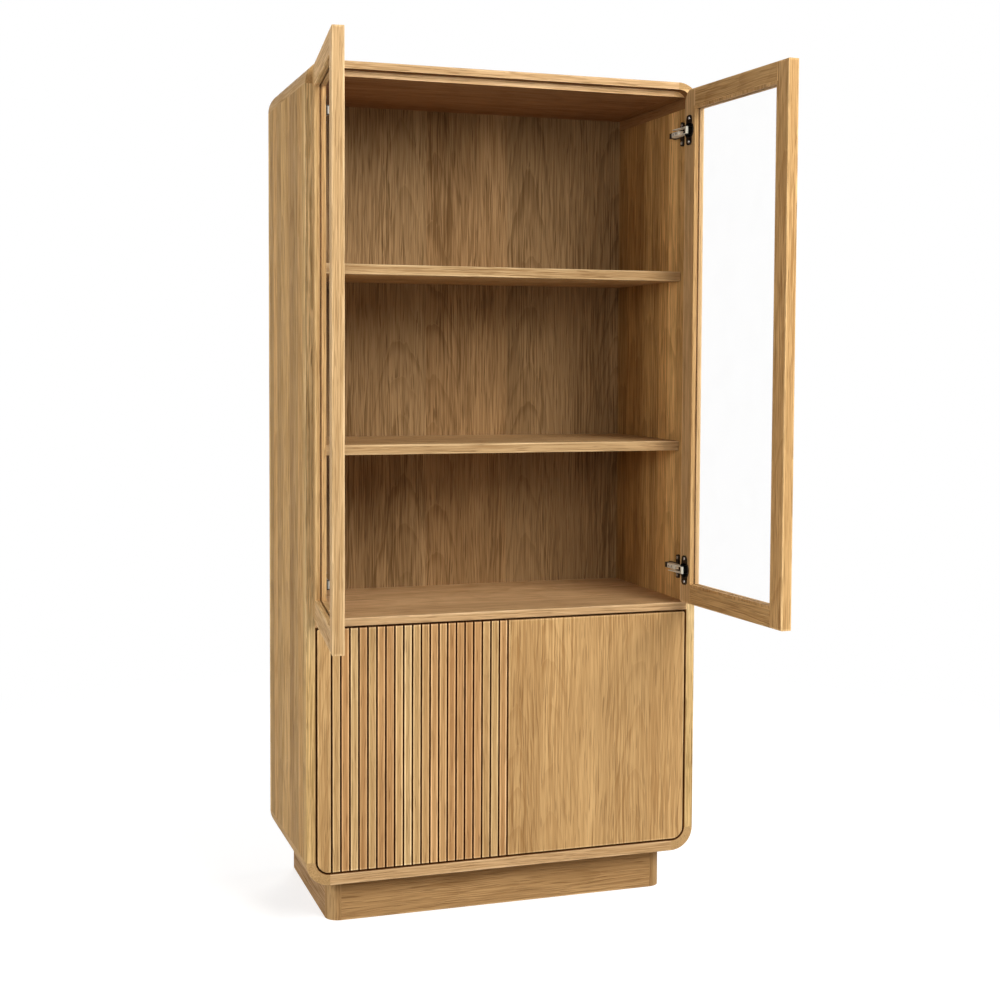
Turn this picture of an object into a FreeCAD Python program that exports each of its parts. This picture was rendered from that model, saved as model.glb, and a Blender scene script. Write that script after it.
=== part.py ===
# Tall display cabinet: two framed glass doors above, a slatted and a plain door below, on a recessed plinth.
# X to the right, Y to the back, Z up. The origin is on the floor, under the middle of the carcass.
import FreeCAD, Part
import os
import re

from FreeCAD import Placement, Rotation, Vector

doc = FreeCAD.newDocument("DisplayCabinet")
sheet = doc.addObject("Spreadsheet::Sheet", "Sizes")

sizes = [
    # carcass
    ("width", 900, "over both sides"),
    ("depth", 430, "front edge to rear edge"),
    ("height", 1840, "floor to top"),
    ("side", 21, "side panel thickness"),
    ("bottomThick", 24, "bottom panel thickness"),
    ("topLip", 16, "top panel in front of the door stop"),
    ("ceilingDrop", 12.5, "door stop below the lip of the top"),
    ("outerRound", 52, "outer radius of the four corners"),
    ("innerRound", 30, "radius of the door opening's corners"),
    ("arris", 1.6, "rounding of the long wood edges"),
    ("backThick", 8, "back panel thickness"),
    ("backSet", 14, "front of the back panel to the rear edge"),
    ("backRebate", 8, "rebate that the back panel sits in"),
    ("backScrewRows", 5, "screws up each side of the back panel"),
    ("backScrewEnd", 60, "bottom and ceiling to the outermost of those screws"),
    # divider and shelves
    ("dividerTop", 668, "floor to the top of the divider"),
    ("dividerThick", 18, "divider thickness"),
    ("shelfThick", 22, "shelf thickness"),
    ("shelfSet", 47, "front edge of the carcass to the shelf front"),
    ("shelfEndGap", 1.5, "between a shelf's end and the side panel"),
    ("shelfBackGap", 2, "between a shelf and the back panel"),
    ("shelfUpperDrop", 9.3, "upper shelf below two thirds of the space over the divider"),
    ("shelfMiddleDrop", 15.2, "middle shelf below one third of that space"),
    ("shelfLowerLift", 9.5, "lower shelf above the middle of the space under the divider"),
    ("shelfPin", 2.5, "shelf pin radius"),
    ("shelfPinReach", 8, "shelf pin on each side of the panel face"),
    ("shelfPinInset", 45, "shelf edge to its pins"),
    # plinth
    ("plinthHeight", 95, "floor to the underside of the carcass"),
    ("plinthInset", 56, "inside each side"),
    ("plinthFrontInset", 45, "behind the front edge"),
    ("plinthBackInset", 0, "inside the rear edge"),
    ("plinthBoard", 18, "plinth board thickness"),
    ("plinthRound", 30, "radius of the plinth's front corners"),
    ("cleat", 20, "square section of the plinth cleats"),
    ("cleatScrewEnd", 118, "plinth side to the outermost cleat screws"),
    # doors
    ("doorGap", 3, "around every door"),
    ("doorThick", 24, "all four doors"),
    ("stopGap", 1.5, "behind a closed door"),
    ("railWidth", 45, "rails of the glass doors"),
    ("frameLip", 10.5, "frame in front of the glass"),
    ("glassRebate", 6, "depth of the rebate for the glass"),
    ("glassThick", 4, "glass pane"),
    ("glassGap", 1, "glass pane to the rebate"),
    ("glassArris", 0.5, "polished edge of the glass"),
    ("smallRound", 8, "radius where doors meet the divider"),
    ("slatStile", 30, "plain stile of the slatted door"),
    ("slatCount", 20, "slats on the slatted door"),
    ("slatGroove", 3, "groove between slats"),
    ("slatThick", 12, "slat and stile thickness"),
    ("slatArris", 1, "rounding of the slats' front edges"),
    # hinges: cup and flange
    ("axisIn", 18, "door axis inside the outer face of a side"),
    ("axisBack", 2, "door axis behind the front edge"),
    ("restLeft", 97, "left glass door as stored"),
    ("restRight", 93.8, "right glass door as stored"),
    ("restLower", 0, "lower doors as stored"),
    ("hingeTop", 90, "door top to the upper hinge"),
    ("hingeBottom", 74, "door bottom to the lower hinge"),
    ("cup", 17.5, "hinge cup radius"),
    ("cupDepth", 11.5, "hinge cup depth"),
    ("cupEdge", 3, "door edge to the cup"),
    ("cupLand", 1, "wood between the cup and the glass rebate"),
    ("cupWall", 1, "cup wall"),
    ("flangeThick", 1.5, "cup flange thickness"),
    ("flangeLong", 66, "cup flange height"),
    ("flangeWide", 24, "cup flange width"),
    ("flangeDisc", 19.5, "radius of the flange around the cup"),
    ("flangeCorner", 8, "radius of the flange's corners"),
    ("cupScrewPitch", 52, "between the two cup screws"),
    # hinges: link
    ("linkPin", 1.5, "radius of the pin between cup and link"),
    ("linkRise", 6, "door's inner face to the pin"),
    ("linkEye", 3, "radius of the link's eye"),
    ("linkStrip", 4.2, "width of the link beside the arm"),
    ("linkSheet", 1.6, "link plate thickness"),
    ("linkSlot", 5, "link pin to the slot between its plates"),
    ("linkNeck", 28.5, "link pin to the tail"),
    ("linkGrip", 10.5, "link's tail behind the arm's tip at a right angle"),
    ("linkLap", 5, "link's tail past the arm's face at a right angle, before its slope"),
    ("linkTilt", 4.6, "link's slope away from the side panel"),
    ("runGap", 0.4, "between sliding hinge plates"),
    ("pinGap", 0.05, "radial gap around the link pin"),
    ("holeGap", 0.1, "radial gap around cups, pins and screws"),
    # hinges: arm and mounting plate
    ("armHigh", 12, "hinge arm height"),
    ("armClear", 1.5, "arm to the link's eye when the door is closed"),
    ("armGap", 3, "closed door to the arm's tip"),
    ("armLong", 37, "hinge arm length"),
    ("armRound", 3, "rounding of the arm"),
    ("adjusterFront", 13, "arm's tip to its first adjusting screw"),
    ("adjusterRear", 28, "arm's tip to its second adjusting screw"),
    ("adjuster", 2.6, "head radius of the adjusting screws"),
    ("plateThick", 6, "mounting plate thickness under the arm"),
    ("plateHigh", 14, "mounting plate height under the arm"),
    ("plateGap", 11, "closed door to the mounting plate"),
    ("wingThick", 5, "wing thickness"),
    ("wingSpan", 54, "mounting plate over its wings"),
    ("wingWide", 12, "wing width"),
    ("wingRound", 4, "radius of the wings' corners"),
    ("wingScrewPitch", 40, "between the screws of a mounting plate"),
    ("clipLong", 18, "clip behind the arm"),
    ("clipThick", 10.4, "clip off the mounting plate"),
    # screws
    ("woodScrew", 1.75, "shank radius of the small screws"),
    ("woodScrewHead", 3.5, "head radius of the small screws"),
    ("plateScrew", 2.5, "shank radius of the mounting plate screws"),
    ("plateScrewHead", 4, "head radius of the mounting plate screws"),
    ("screwHeadHigh", 1.5, "screw head height"),
    ("screwGrip", 10, "screw length in the wood"),
    ("past", 1, "how far a cutting shape runs past a face"),
]
for row, (alias, amount, note) in enumerate(sizes, 1):
    sheet.set(f"A{row}", alias)
    sheet.set(f"B{row}", str(amount))
    sheet.set(f"C{row}", note)
    sheet.setAlias(f"B{row}", alias)
doc.recompute()
aliases = {alias for alias, amount, note in sizes}


def formula(text):
    """The text with each alias written as a cell of the sheet."""
    return re.sub(r"[A-Za-z]+", lambda word: "Sizes." + word[0] if word[0] in aliases else word[0], str(text))


def bind(thing, prop, text):
    thing.setExpression(prop, formula(text))


def value(text):
    """What a formula of the sheet comes to."""
    return float(sheet.evalExpression(formula(text).replace("Sizes.", "")))


# ---- places that several pieces share, as formulas of the sheet ----
left, right = "(-width/2)", "(width/2)"
front, rear = "(-depth/2)", "(depth/2)"
innerHalf = "(width/2 - side)"
innerWide = f"(2*{innerHalf})"
recess = "(doorThick + stopGap)"
backFront = "(depth/2 - backSet)"
floorTop = "(plinthHeight + bottomThick)"
lipUnder = "(height - topLip)"
ceiling = "(height - topLip - ceilingDrop)"
corner = "max(side + innerRound; outerRound)"
dividerUnder = "(dividerTop - dividerThick)"
overDivider = f"({ceiling} - dividerTop)"
plinthHalf = "(width/2 - plinthInset)"
plinthFront = "(plinthFrontInset - depth/2)"
plinthRear = f"({rear} - plinthBackInset)"
doorWidth = f"(({innerWide} - 3*doorGap)/2)"
doorRound = "(innerRound - doorGap)"
doorSmallRound = "(smallRound - doorGap)"
stileWidth = "(cupEdge + 2*cup + cupLand + glassRebate)"
# in a door's own frame: origin on its axis, X towards the free edge, door closed
sideFace = "(side - axisIn)"
doorEdge = "(side + doorGap - axisIn)"
doorFace = "(-axisBack)"
doorInner = "(doorThick - axisBack)"
cupMiddle = f"({doorEdge} + cupEdge + cup)"
pinLevel = f"({doorInner} + linkRise)"
plateTop = f"({sideFace} + plateThick)"
armTop = f"({cupMiddle} - linkEye - armClear)"
armStart = f"({doorInner} + armGap)"
plateStart = f"({doorInner} + plateGap)"
linkTail = f"(max({pinLevel} - {armTop}; linkEye + armClear) + linkLap)"
linkLong = f"({armStart} + {cupMiddle} + linkGrip)"
linkHalf = "(armHigh/2 + runGap + linkSheet)"


# ---- features ----
def place(piece, places):
    for axis, text in zip("xyz", places):
        bind(piece, "Placement.Base." + axis, text)


def box(name, start, lengths):
    piece = doc.addObject("Part::Box", name)
    for prop, text in zip(("Length", "Width", "Height"), lengths):
        bind(piece, prop, text)
    place(piece, start)
    return piece


turns = {"x": Rotation(Vector(0, 1, 0), 90), "y": Rotation(Vector(1, 0, 0), -90), "z": Rotation()}


def rod(name, start, radius, length, along):
    piece = doc.addObject("Part::Cylinder", name)
    piece.Placement = Placement(Vector(), turns[along])
    bind(piece, "Radius", radius)
    bind(piece, "Height", length)
    place(piece, start)
    return piece


def fuse(name, pieces):
    piece = doc.addObject("Part::MultiFuse", name)
    piece.Shapes = pieces
    return piece


def common(name, pieces):
    piece = doc.addObject("Part::MultiCommon", name)
    piece.Shapes = pieces
    return piece


def group(name, pieces):
    piece = doc.addObject("Part::Compound", name)
    piece.Links = pieces
    return piece


def cut(name, base, tool):
    piece = doc.addObject("Part::Cut", name)
    piece.Base = base
    piece.Tool = tool
    return piece


def rounded(name, base, radius, pick):
    """Round the edges of base that pick(edge, start, end) chooses."""
    doc.recompute()
    piece = doc.addObject("Part::Fillet", name)
    piece.Base = base
    reach = value(radius)
    piece.Edges = [(index, reach, reach) for index, edge in enumerate(base.Shape.Edges, 1)
                   if pick(edge, edge.Vertexes[0].Point, edge.Vertexes[-1].Point)]
    return piece


def all_at(level, *points):
    return all(abs(level - point) < 1e-4 for point in points)


def along_y(edge, a, b):
    return all_at(a.x, b.x) and all_at(a.z, b.z)


def along_x(edge, a, b):
    return all_at(a.y, b.y) and all_at(a.z, b.z)


nodes = []


def node(piece, label):
    piece.Label = label
    nodes.append(piece)
    return piece


# ---- where the hinges are, from the top of each door and from its bottom ----
doorSpans = {
    "upper": ("(dividerTop + doorGap)", f"({lipUnder} - doorGap)"),
    "lower": (f"({floorTop} + doorGap)", f"({dividerUnder} - doorGap)"),
}
hingeLevels = {row: [f"({top} - hingeTop)", f"({low} + hingeBottom)"] for row, (low, top) in doorSpans.items()}

# ---- carcass: a rounded frame, hollowed by the door recess, the inside and the back rebate ----
bulk = box("carcass_bulk", (left, front, "plinthHeight"), ("width", "depth", "height - plinthHeight"))
block = rounded("carcass_block", bulk, "outerRound", along_y)
recessBulk = box("door_recess_bulk", (f"-{innerHalf}", f"{front} - past", floorTop),
                 (innerWide, f"{recess} + past", f"{lipUnder} - {floorTop}"))
doorRecess = rounded("door_recess", recessBulk, "innerRound", along_y)
inside = box("inside", (f"-{innerHalf}", f"{front} + {recess}", floorTop),
             (innerWide, f"depth - {recess} + past", f"{ceiling} - {floorTop}"))
backLow = f"({floorTop} - backRebate)"
backWide, backHigh = f"({innerWide} + 2*backRebate)", f"({ceiling} - {floorTop} + 2*backRebate)"
backSeat = box("back_seat", (f"-{innerHalf} - backRebate", backFront, backLow),
               (backWide, "backSet + past", backHigh))
hollow = fuse("carcass_hollow", [doorRecess, inside, backSeat])

# screws around the back panel, in the middle of its rebate
seatHalf = f"({innerHalf} + backRebate/2)"
screwSpan = f"({ceiling} - {floorTop} - 2*backScrewEnd)"
backScrews = []
for i in range(int(value("backScrewRows"))):
    level = f"({floorTop} + backScrewEnd + {screwSpan}*{i}/(backScrewRows - 1))"
    backScrews += [(f"-{seatHalf}", level), (seatHalf, level)]
for quarter in (-1, 0, 1):
    across = f"({quarter}*width/4)"
    backScrews += [(across, f"({floorTop} - backRebate/2)"), (across, f"({ceiling} + backRebate/2)")]
backHoles = group("back_holes", [
    rod(f"back_hole_{i}", (x, f"{backFront} - screwGrip", z), "woodScrew + holeGap",
        "screwGrip + backThick + past", "y") for i, (x, z) in enumerate(backScrews)])

frontFace, halfWide = value(front), value(right)
topFace, baseFace, cornerReach = value("height"), value("plinthHeight"), value(corner)


def front_arris(*joints):
    """Chooses the front edges, but not those on a joint with a neighbour, given as (axis, place)."""
    def pick(edge, a, b):
        onJoint = any(all_at(level, getattr(a, axis), getattr(b, axis)) for axis, level in joints)
        return all_at(frontFace, a.y, b.y) and not onJoint
    return pick


shelves = {
    "upper": f"(dividerTop + {overDivider}*2/3 - shelfUpperDrop)",
    "middle": f"(dividerTop + {overDivider}/3 - shelfMiddleDrop)",
    "lower": f"(({floorTop} + {dividerUnder})/2 + shelfLowerLift)",
}
pinRows = [f"({front} + shelfSet + shelfPinInset)", f"({backFront} - shelfBackGap - shelfPinInset)"]


def pin_level(top):
    return f"({top} - shelfThick + shelfPin)"


def side_panel(name, hand):
    """A side, drilled for the back panel, the mounting plates and the shelf pins."""
    outer = left if hand > 0 else f"({right} - side)"
    board = box(f"side_{name}_board", (outer, front, f"plinthHeight + {corner}"),
                ("side", "depth", f"height - plinthHeight - 2*{corner}"))

    def into_wood(label, reach, y, z, radius):
        start = f"-{innerHalf} - {reach}" if hand > 0 else innerHalf
        return rod(f"{label}_{name}", (start, y, z), f"{radius} + holeGap", reach, "x")

    drills = [backHoles]
    for row, levels in hingeLevels.items():
        for i, level in enumerate(levels):
            for end in (-1, 1):
                y = f"{front} + axisBack + {plateStart} + wingWide/2"
                drills.append(into_wood(f"plate_hole_{row}_{i}{end + 1}", "screwGrip", y,
                                        f"{level} + {end}*wingScrewPitch/2", "plateScrew"))
    for shelf, top in shelves.items():
        for i, y in enumerate(pinRows):
            drills.append(into_wood(f"pin_hole_{shelf}_{i}", "shelfPinReach", y, pin_level(top), "shelfPin"))
    panel = cut(f"side_{name}_drilled", cut(f"side_{name}_hollowed", board, hollow),
                group(f"side_{name}_drills", drills))
    pick = front_arris(("z", baseFace + cornerReach), ("z", topFace - cornerReach))
    node(rounded(f"side_{name}_rounded", panel, "arris", pick), f"side_panel_{name}")


side_panel("left", 1)
side_panel("right", -1)

cleatRows = [f"({plinthFront} + plinthBoard + cleat/2)", f"({plinthRear} - plinthBoard - cleat/2)"]
cleatScrews = [(f"({third}*({plinthHalf} - cleatScrewEnd)/3)", y)
               for third in (-3, -1, 1, 3) for y in cleatRows]
cleatHoles = group("cleat_holes", [
    rod(f"cleat_hole_{i}", (x, y, "plinthHeight - cleat - past"), "woodScrew + holeGap",
        "cleat + screwGrip + past", "z") for i, (x, y) in enumerate(cleatScrews)])


def flat_panel(name, low, thick, drills):
    board = box(f"{name}_board", (f"{left} + {corner}", front, low), (f"width - 2*{corner}", "depth", thick))
    panel = cut(f"{name}_drilled", cut(f"{name}_hollowed", board, hollow), group(f"{name}_drills", drills))
    pick = front_arris(("x", cornerReach - halfWide), ("x", halfWide - cornerReach))
    node(rounded(f"{name}_rounded", panel, "arris", pick), f"{name}_panel")


flat_panel("top", ceiling, "topLip + ceilingDrop", [backHoles])
flat_panel("bottom", "plinthHeight", "bottomThick", [backHoles, cleatHoles])


def corner_piece(level, name, hand):
    x = left if hand > 0 else f"({right} - {corner})"
    z = f"(height - {corner})" if level == "top" else "plinthHeight"
    cube = box(f"corner_{level}_{name}_cube", (x, front, z), (corner, "depth", corner))
    shell = cut(f"corner_{level}_{name}_hollowed", common(f"corner_{level}_{name}_bulk", [block, cube]), hollow)
    jointX = hand * (cornerReach - halfWide)
    jointZ = topFace - cornerReach if level == "top" else baseFace + cornerReach
    pick = front_arris(("x", jointX), ("z", jointZ))
    node(rounded(f"corner_{level}_{name}_rounded", shell, "arris", pick), f"corner_{level}_{name}")


for name, hand in (("left", 1), ("right", -1)):
    corner_piece("top", name, hand)
    corner_piece("bottom", name, hand)

# ---- divider, with a small cove at each end above the lower doors ----
cheeks = []
for name, hand in (("left", 1), ("right", -1)):
    x = f"-{innerHalf}" if hand > 0 else f"({innerHalf} - smallRound)"
    axis = f"-{innerHalf} + smallRound" if hand > 0 else f"{innerHalf} - smallRound"
    cheek = box(f"divider_cheek_{name}", (x, front, f"{dividerUnder} - smallRound"),
                ("smallRound", recess, "smallRound"))
    cove = rod(f"divider_cove_{name}", (axis, f"{front} - past", f"{dividerUnder} - smallRound"),
               "smallRound", f"{recess} + 2*past", "y")
    cheeks.append(cut(f"divider_corner_{name}", cheek, cove))
dividerBoard = box("divider_board", (f"-{innerHalf}", front, dividerUnder),
                   (innerWide, "depth - backSet", "dividerThick"))
dividerFaces = value("dividerTop"), value(dividerUnder)
node(rounded("divider_rounded", fuse("divider_bulk", [dividerBoard] + cheeks), "arris",
             lambda edge, a, b: all_at(frontFace, a.y, b.y) and any(all_at(z, a.z, b.z) for z in dividerFaces)),
     "divider_panel")

# ---- back panel and its screws ----
backBoard = box("back_board", (f"-{innerHalf} - backRebate", backFront, backLow),
                (backWide, "backThick", backHigh))
node(cut("back_drilled", backBoard, backHoles), "back_panel")


def wood_screw(name, start, thick, along):
    """A small screw: its tip at start, through a piece of this thickness, its head on the far face."""
    grip = f"(screwGrip + {thick})"
    head = list(start)
    axis = "xyz".index(along)
    head[axis] = f"{start[axis]} + {grip}"
    return fuse(name, [rod(f"{name}_shank", start, "woodScrew", f"{grip} + screwHeadHigh", along),
                       rod(f"{name}_head", head, "woodScrewHead", "screwHeadHigh", along)])


node(group("back_screws", [wood_screw(f"back_screw_{i}", (x, f"{backFront} - screwGrip", z), "backThick", "y")
                           for i, (x, z) in enumerate(backScrews)]), "back_panel_screws")

# ---- shelves on pins that are let into their ends ----
shelfDepth = "(depth - backSet - shelfSet - shelfBackGap)"
shelfFront = value(f"{front} + shelfSet")
pins = []


def shelf_board(shelf, top):
    board = box(f"shelf_{shelf}_board",
                (f"-{innerHalf} + shelfEndGap", f"{front} + shelfSet", f"{top} - shelfThick"),
                (f"{innerWide} - 2*shelfEndGap", shelfDepth, "shelfThick"))
    notches = []
    for name, hand in (("left", 1), ("right", -1)):
        for i, y in enumerate(pinRows):
            start = f"-{innerHalf} - past" if hand > 0 else f"{innerHalf} - shelfPinReach - holeGap"
            notches.append(box(f"notch_{shelf}_{name}_{i}",
                               (start, f"{y} - shelfPin - holeGap", f"{top} - shelfThick - past"),
                               ("shelfPinReach + holeGap + past", "2*(shelfPin + holeGap)",
                                "2*shelfPin + past")))
            face = f"-{innerHalf}" if hand > 0 else innerHalf
            pins.append(rod(f"pin_{shelf}_{name}_{i}", (f"{face} - shelfPinReach", y, pin_level(top)),
                            "shelfPin", "2*shelfPinReach", "x"))
    panel = cut(f"shelf_{shelf}_notched", board, group(f"shelf_{shelf}_notches", notches))
    faces = value(top), value(f"{top} - shelfThick")
    node(rounded(f"shelf_{shelf}_rounded", panel, "arris", lambda edge, a, b: all_at(shelfFront, a.y, b.y)
                 and any(all_at(z, a.z, b.z) for z in faces)), f"shelf_{shelf}")


for shelf, top in shelves.items():
    shelf_board(shelf, top)
node(group("shelf_pin_group", pins), "shelf_pins")

# ---- plinth: boards between rounded corner posts, cleats under the carcass and a stretcher ----
plinthLong = f"(2*{plinthHalf} - 2*plinthRound)"
plinthDeep = f"({plinthRear} - {plinthFront})"
node(box("plinth_front_board", (f"-{plinthHalf} + plinthRound", plinthFront, "0"),
         (plinthLong, "plinthBoard", "plinthHeight")), "plinth_front")
for name, hand in (("left", 1), ("right", -1)):
    x = f"-{plinthHalf}" if hand > 0 else f"({plinthHalf} - plinthBoard)"
    node(box(f"plinth_{name}_board", (x, f"{plinthFront} + plinthRound", "0"),
             ("plinthBoard", f"{plinthDeep} - plinthRound", "plinthHeight")), f"plinth_side_{name}")
    axis = f"-{plinthHalf} + plinthRound" if hand > 0 else f"{plinthHalf} - plinthRound"
    post = rod(f"plinth_{name}_post", (axis, f"{plinthFront} + plinthRound", "0"),
               "plinthRound", "plinthHeight", "z")
    post.Angle = 90  # a quarter round, turned to face the front corner
    post.Placement = Placement(post.Placement.Base, Rotation(Vector(0, 0, 1), 180 if hand > 0 else 270))
    node(post, f"plinth_corner_{name}")
node(box("plinth_back_board", (f"-{plinthHalf} + plinthBoard", f"{plinthRear} - plinthBoard", "0"),
         (f"2*{plinthHalf} - 2*plinthBoard", "plinthBoard", "plinthHeight")), "plinth_back")
cleats = group("plinth_cleat_pair", [
    box(f"plinth_cleat_{i}", (f"-{plinthHalf} + plinthRound", f"{y} - cleat/2", "plinthHeight - cleat"),
        (plinthLong, "cleat", "cleat")) for i, y in enumerate(cleatRows)])
node(cut("plinth_cleats_drilled", cleats, cleatHoles), "plinth_cleats")
stretcherBoard = box("plinth_middle_board", ("-plinthBoard/2", f"{plinthFront} + plinthBoard", "0"),
                     ("plinthBoard", f"{plinthDeep} - 2*plinthBoard", "plinthHeight"))
node(cut("plinth_middle_notched", stretcherBoard, cleats), "plinth_stretcher")


def cleat_screw(i, x, y):
    """A screw from below, through a cleat into the bottom panel."""
    head = "(plinthHeight - cleat - screwHeadHigh)"
    return fuse(f"cleat_screw_{i}", [
        rod(f"cleat_shank_{i}", (x, y, head), "woodScrew", "screwHeadHigh + cleat + screwGrip", "z"),
        rod(f"cleat_head_{i}", (x, y, head), "woodScrewHead", "screwHeadHigh", "z")])


node(group("cleat_screws", [cleat_screw(i, x, y) for i, (x, y) in enumerate(cleatScrews)]), "plinth_screws")


# ---- doors, built closed about their own axis, then swung to the angle they are stored at ----
class Door:
    """hand is 1 for a door hung on the left side and -1 for one hung on the right, which is mirrored."""

    def __init__(self, name, hand, row, rest):
        self.name, self.hand, self.row, self.rest = name, hand, row, rest
        self.low, self.top = doorSpans[row]
        self.high = f"({self.top} - {self.low})"
        self.hinges = hingeLevels[row]

    def x(self, reach):
        return f"({reach})" if self.hand > 0 else f"(-({reach}))"

    def span(self, start, length):
        """Where something of this length begins along X."""
        return f"({start})" if self.hand > 0 else f"(-({start}) - ({length}))"

    def value(self, reach):
        return self.hand * value(reach)

    def box(self, name, start, lengths):
        return box(f"{self.name}_{name}", (self.span(start[0], lengths[0]),) + start[1:], lengths)

    def rod(self, name, start, radius, length, along):
        x = self.span(start[0], length) if along == "x" else self.x(start[0])
        return rod(f"{self.name}_{name}", (x,) + start[1:], radius, length, along)

    def axis(self):
        outer = left if self.hand > 0 else right
        return f"({outer} + {self.x('axisIn')})", f"({front} + axisBack)"

    def fixed(self, piece):
        """Put a piece on the carcass, beside the door's axis."""
        place(piece, self.axis())
        return piece

    def turned(self, piece, angle):
        """Bind a turn about Z; the placement is given a turn first, so that it keeps Z as its axis."""
        piece.Placement = Placement(Vector(), Rotation(Vector(0, 0, 1), 10))
        bind(piece, "Placement.Rotation.Angle", f"{-self.hand}*{angle}")

    def hung(self, piece, label):
        """Make a piece of the door itself."""
        self.turned(piece, self.rest)
        place(piece, self.axis())
        return node(piece, f"{self.name}_{label}")


def cup_holes(door):
    """What the door's wood is drilled with: cup pockets and screw holes."""
    holes = []
    for i, level in enumerate(door.hinges):
        holes.append(door.rod(f"cup_pocket_{i}", (cupMiddle, f"{doorInner} - cupDepth", level),
                              "cup + holeGap", "cupDepth + past", "y"))
        for end in (-1, 1):
            holes.append(door.rod(f"cup_screw_hole_{i}{end + 1}",
                                  (cupMiddle, f"{doorInner} - screwGrip", f"{level} + {end}*cupScrewPitch/2"),
                                  "woodScrew + holeGap", "screwGrip + past", "y"))
    return group(f"{door.name}_cup_holes", holes)


def hinge_cup(door, i, level):
    """A cup with its flange, the pin across its mouth and the two ears that hold the pin."""
    bottom = f"({doorInner} - cupDepth)"
    body = door.rod(f"cup_{i}", (cupMiddle, bottom, level), "cup", "cupDepth", "y")
    disc = door.rod(f"flange_disc_{i}", (cupMiddle, doorInner, level), "flangeDisc", "flangeThick", "y")
    bar = rounded(f"{door.name}_flange_bar_{i}",
                  door.box(f"flange_{i}", (f"{cupMiddle} - flangeWide/2", doorInner, f"{level} - flangeLong/2"),
                           ("flangeWide", "flangeThick", "flangeLong")), "flangeCorner", along_y)
    cuts = [door.rod(f"cup_hollow_{i}", (cupMiddle, f"{bottom} + cupWall", level), "cup - cupWall",
                     "cupDepth + flangeThick", "y")]
    for end in (-1, 1):
        cuts.append(door.rod(f"flange_hole_{i}{end + 1}",
                             (cupMiddle, f"{doorInner} - past", f"{level} + {end}*cupScrewPitch/2"),
                             "woodScrew + holeGap", "flangeThick + 2*past", "y"))
    dish = cut(f"{door.name}_dish_{i}", fuse(f"{door.name}_cup_bulk_{i}", [body, disc, bar]),
               group(f"{door.name}_cup_cuts_{i}", cuts))
    earLow = f"({level} - {linkHalf} - runGap - linkSheet)"
    earDeep = "(cupDepth - cupWall/2 + linkRise + linkEye)"
    ears = [door.box(f"ear_{i}{j}", (f"{cupMiddle} - linkEye", f"{bottom} + cupWall/2", z),
                     ("2*linkEye", earDeep, "linkSheet"))
            for j, z in enumerate((earLow, f"{level} + {linkHalf} + runGap"))]
    pin = door.rod(f"link_pin_{i}", (cupMiddle, pinLevel, earLow), "linkPin",
                   f"2*({linkHalf} + runGap + linkSheet)", "z")
    return fuse(f"{door.name}_hinge_cup_{i}", [dish, pin] + ears)


def hinge_cups(door):
    cups, screws = [], []
    for i, level in enumerate(door.hinges):
        cups.append(hinge_cup(door, i, level))
        for end in (-1, 1):
            start = (door.x(cupMiddle), f"({doorInner} - screwGrip)", f"({level} + {end}*cupScrewPitch/2)")
            screws.append(wood_screw(f"{door.name}_cup_screw_{i}{end + 1}", start, "flangeThick", "y"))
    door.hung(group(f"{door.name}_cups", cups), "hinge_cups")
    door.hung(group(f"{door.name}_cup_screw_group", screws), "cup_screws")


def hinge_links(door):
    """Forks with an eye on the cup's pin; their tails run along the arm, above and below it."""
    forks = []
    for i, level in enumerate(door.hinges):
        low, high = f"({level} - {linkHalf})", f"(2*{linkHalf})"
        eye = door.rod(f"eye_{i}", ("0", "0", low), "linkEye", high, "z")
        strip = door.box(f"link_strip_{i}", ("-linkStrip/2", "0", low), ("linkStrip", linkLong, high))
        tail = door.box(f"link_tail_{i}", (f"-{linkTail}", "linkNeck", low),
                        (f"{linkTail} + linkStrip/2", f"{linkLong} - linkNeck", high))
        slot = door.box(f"link_slot_{i}", (f"-{linkTail} - past", "linkSlot", f"{level} - armHigh/2 - runGap"),
                        (f"{linkTail} + linkStrip + 2*past", linkLong, "armHigh + 2*runGap"))
        bore = door.rod(f"link_bore_{i}", ("0", "0", f"{low} - past"), "linkPin + pinGap",
                        f"{high} + 2*past", "z")
        forks.append(cut(f"{door.name}_fork_{i}", fuse(f"{door.name}_fork_bulk_{i}", [eye, strip, tail]),
                         group(f"{door.name}_fork_cuts_{i}", [slot, bore])))
    pair = group(f"{door.name}_forks", forks)
    door.turned(pair, "linkTilt")
    x, y = door.axis()
    reach = f"{cupMiddle}*cos({door.rest}) + {pinLevel}*sin({door.rest})"
    place(pair, (f"{x} + {door.x(reach)}",
                 f"{y} - {cupMiddle}*sin({door.rest}) + {pinLevel}*cos({door.rest})"))
    node(pair, f"{door.name}_hinge_links")


plates, arms, mountScrews = [], [], []


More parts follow.
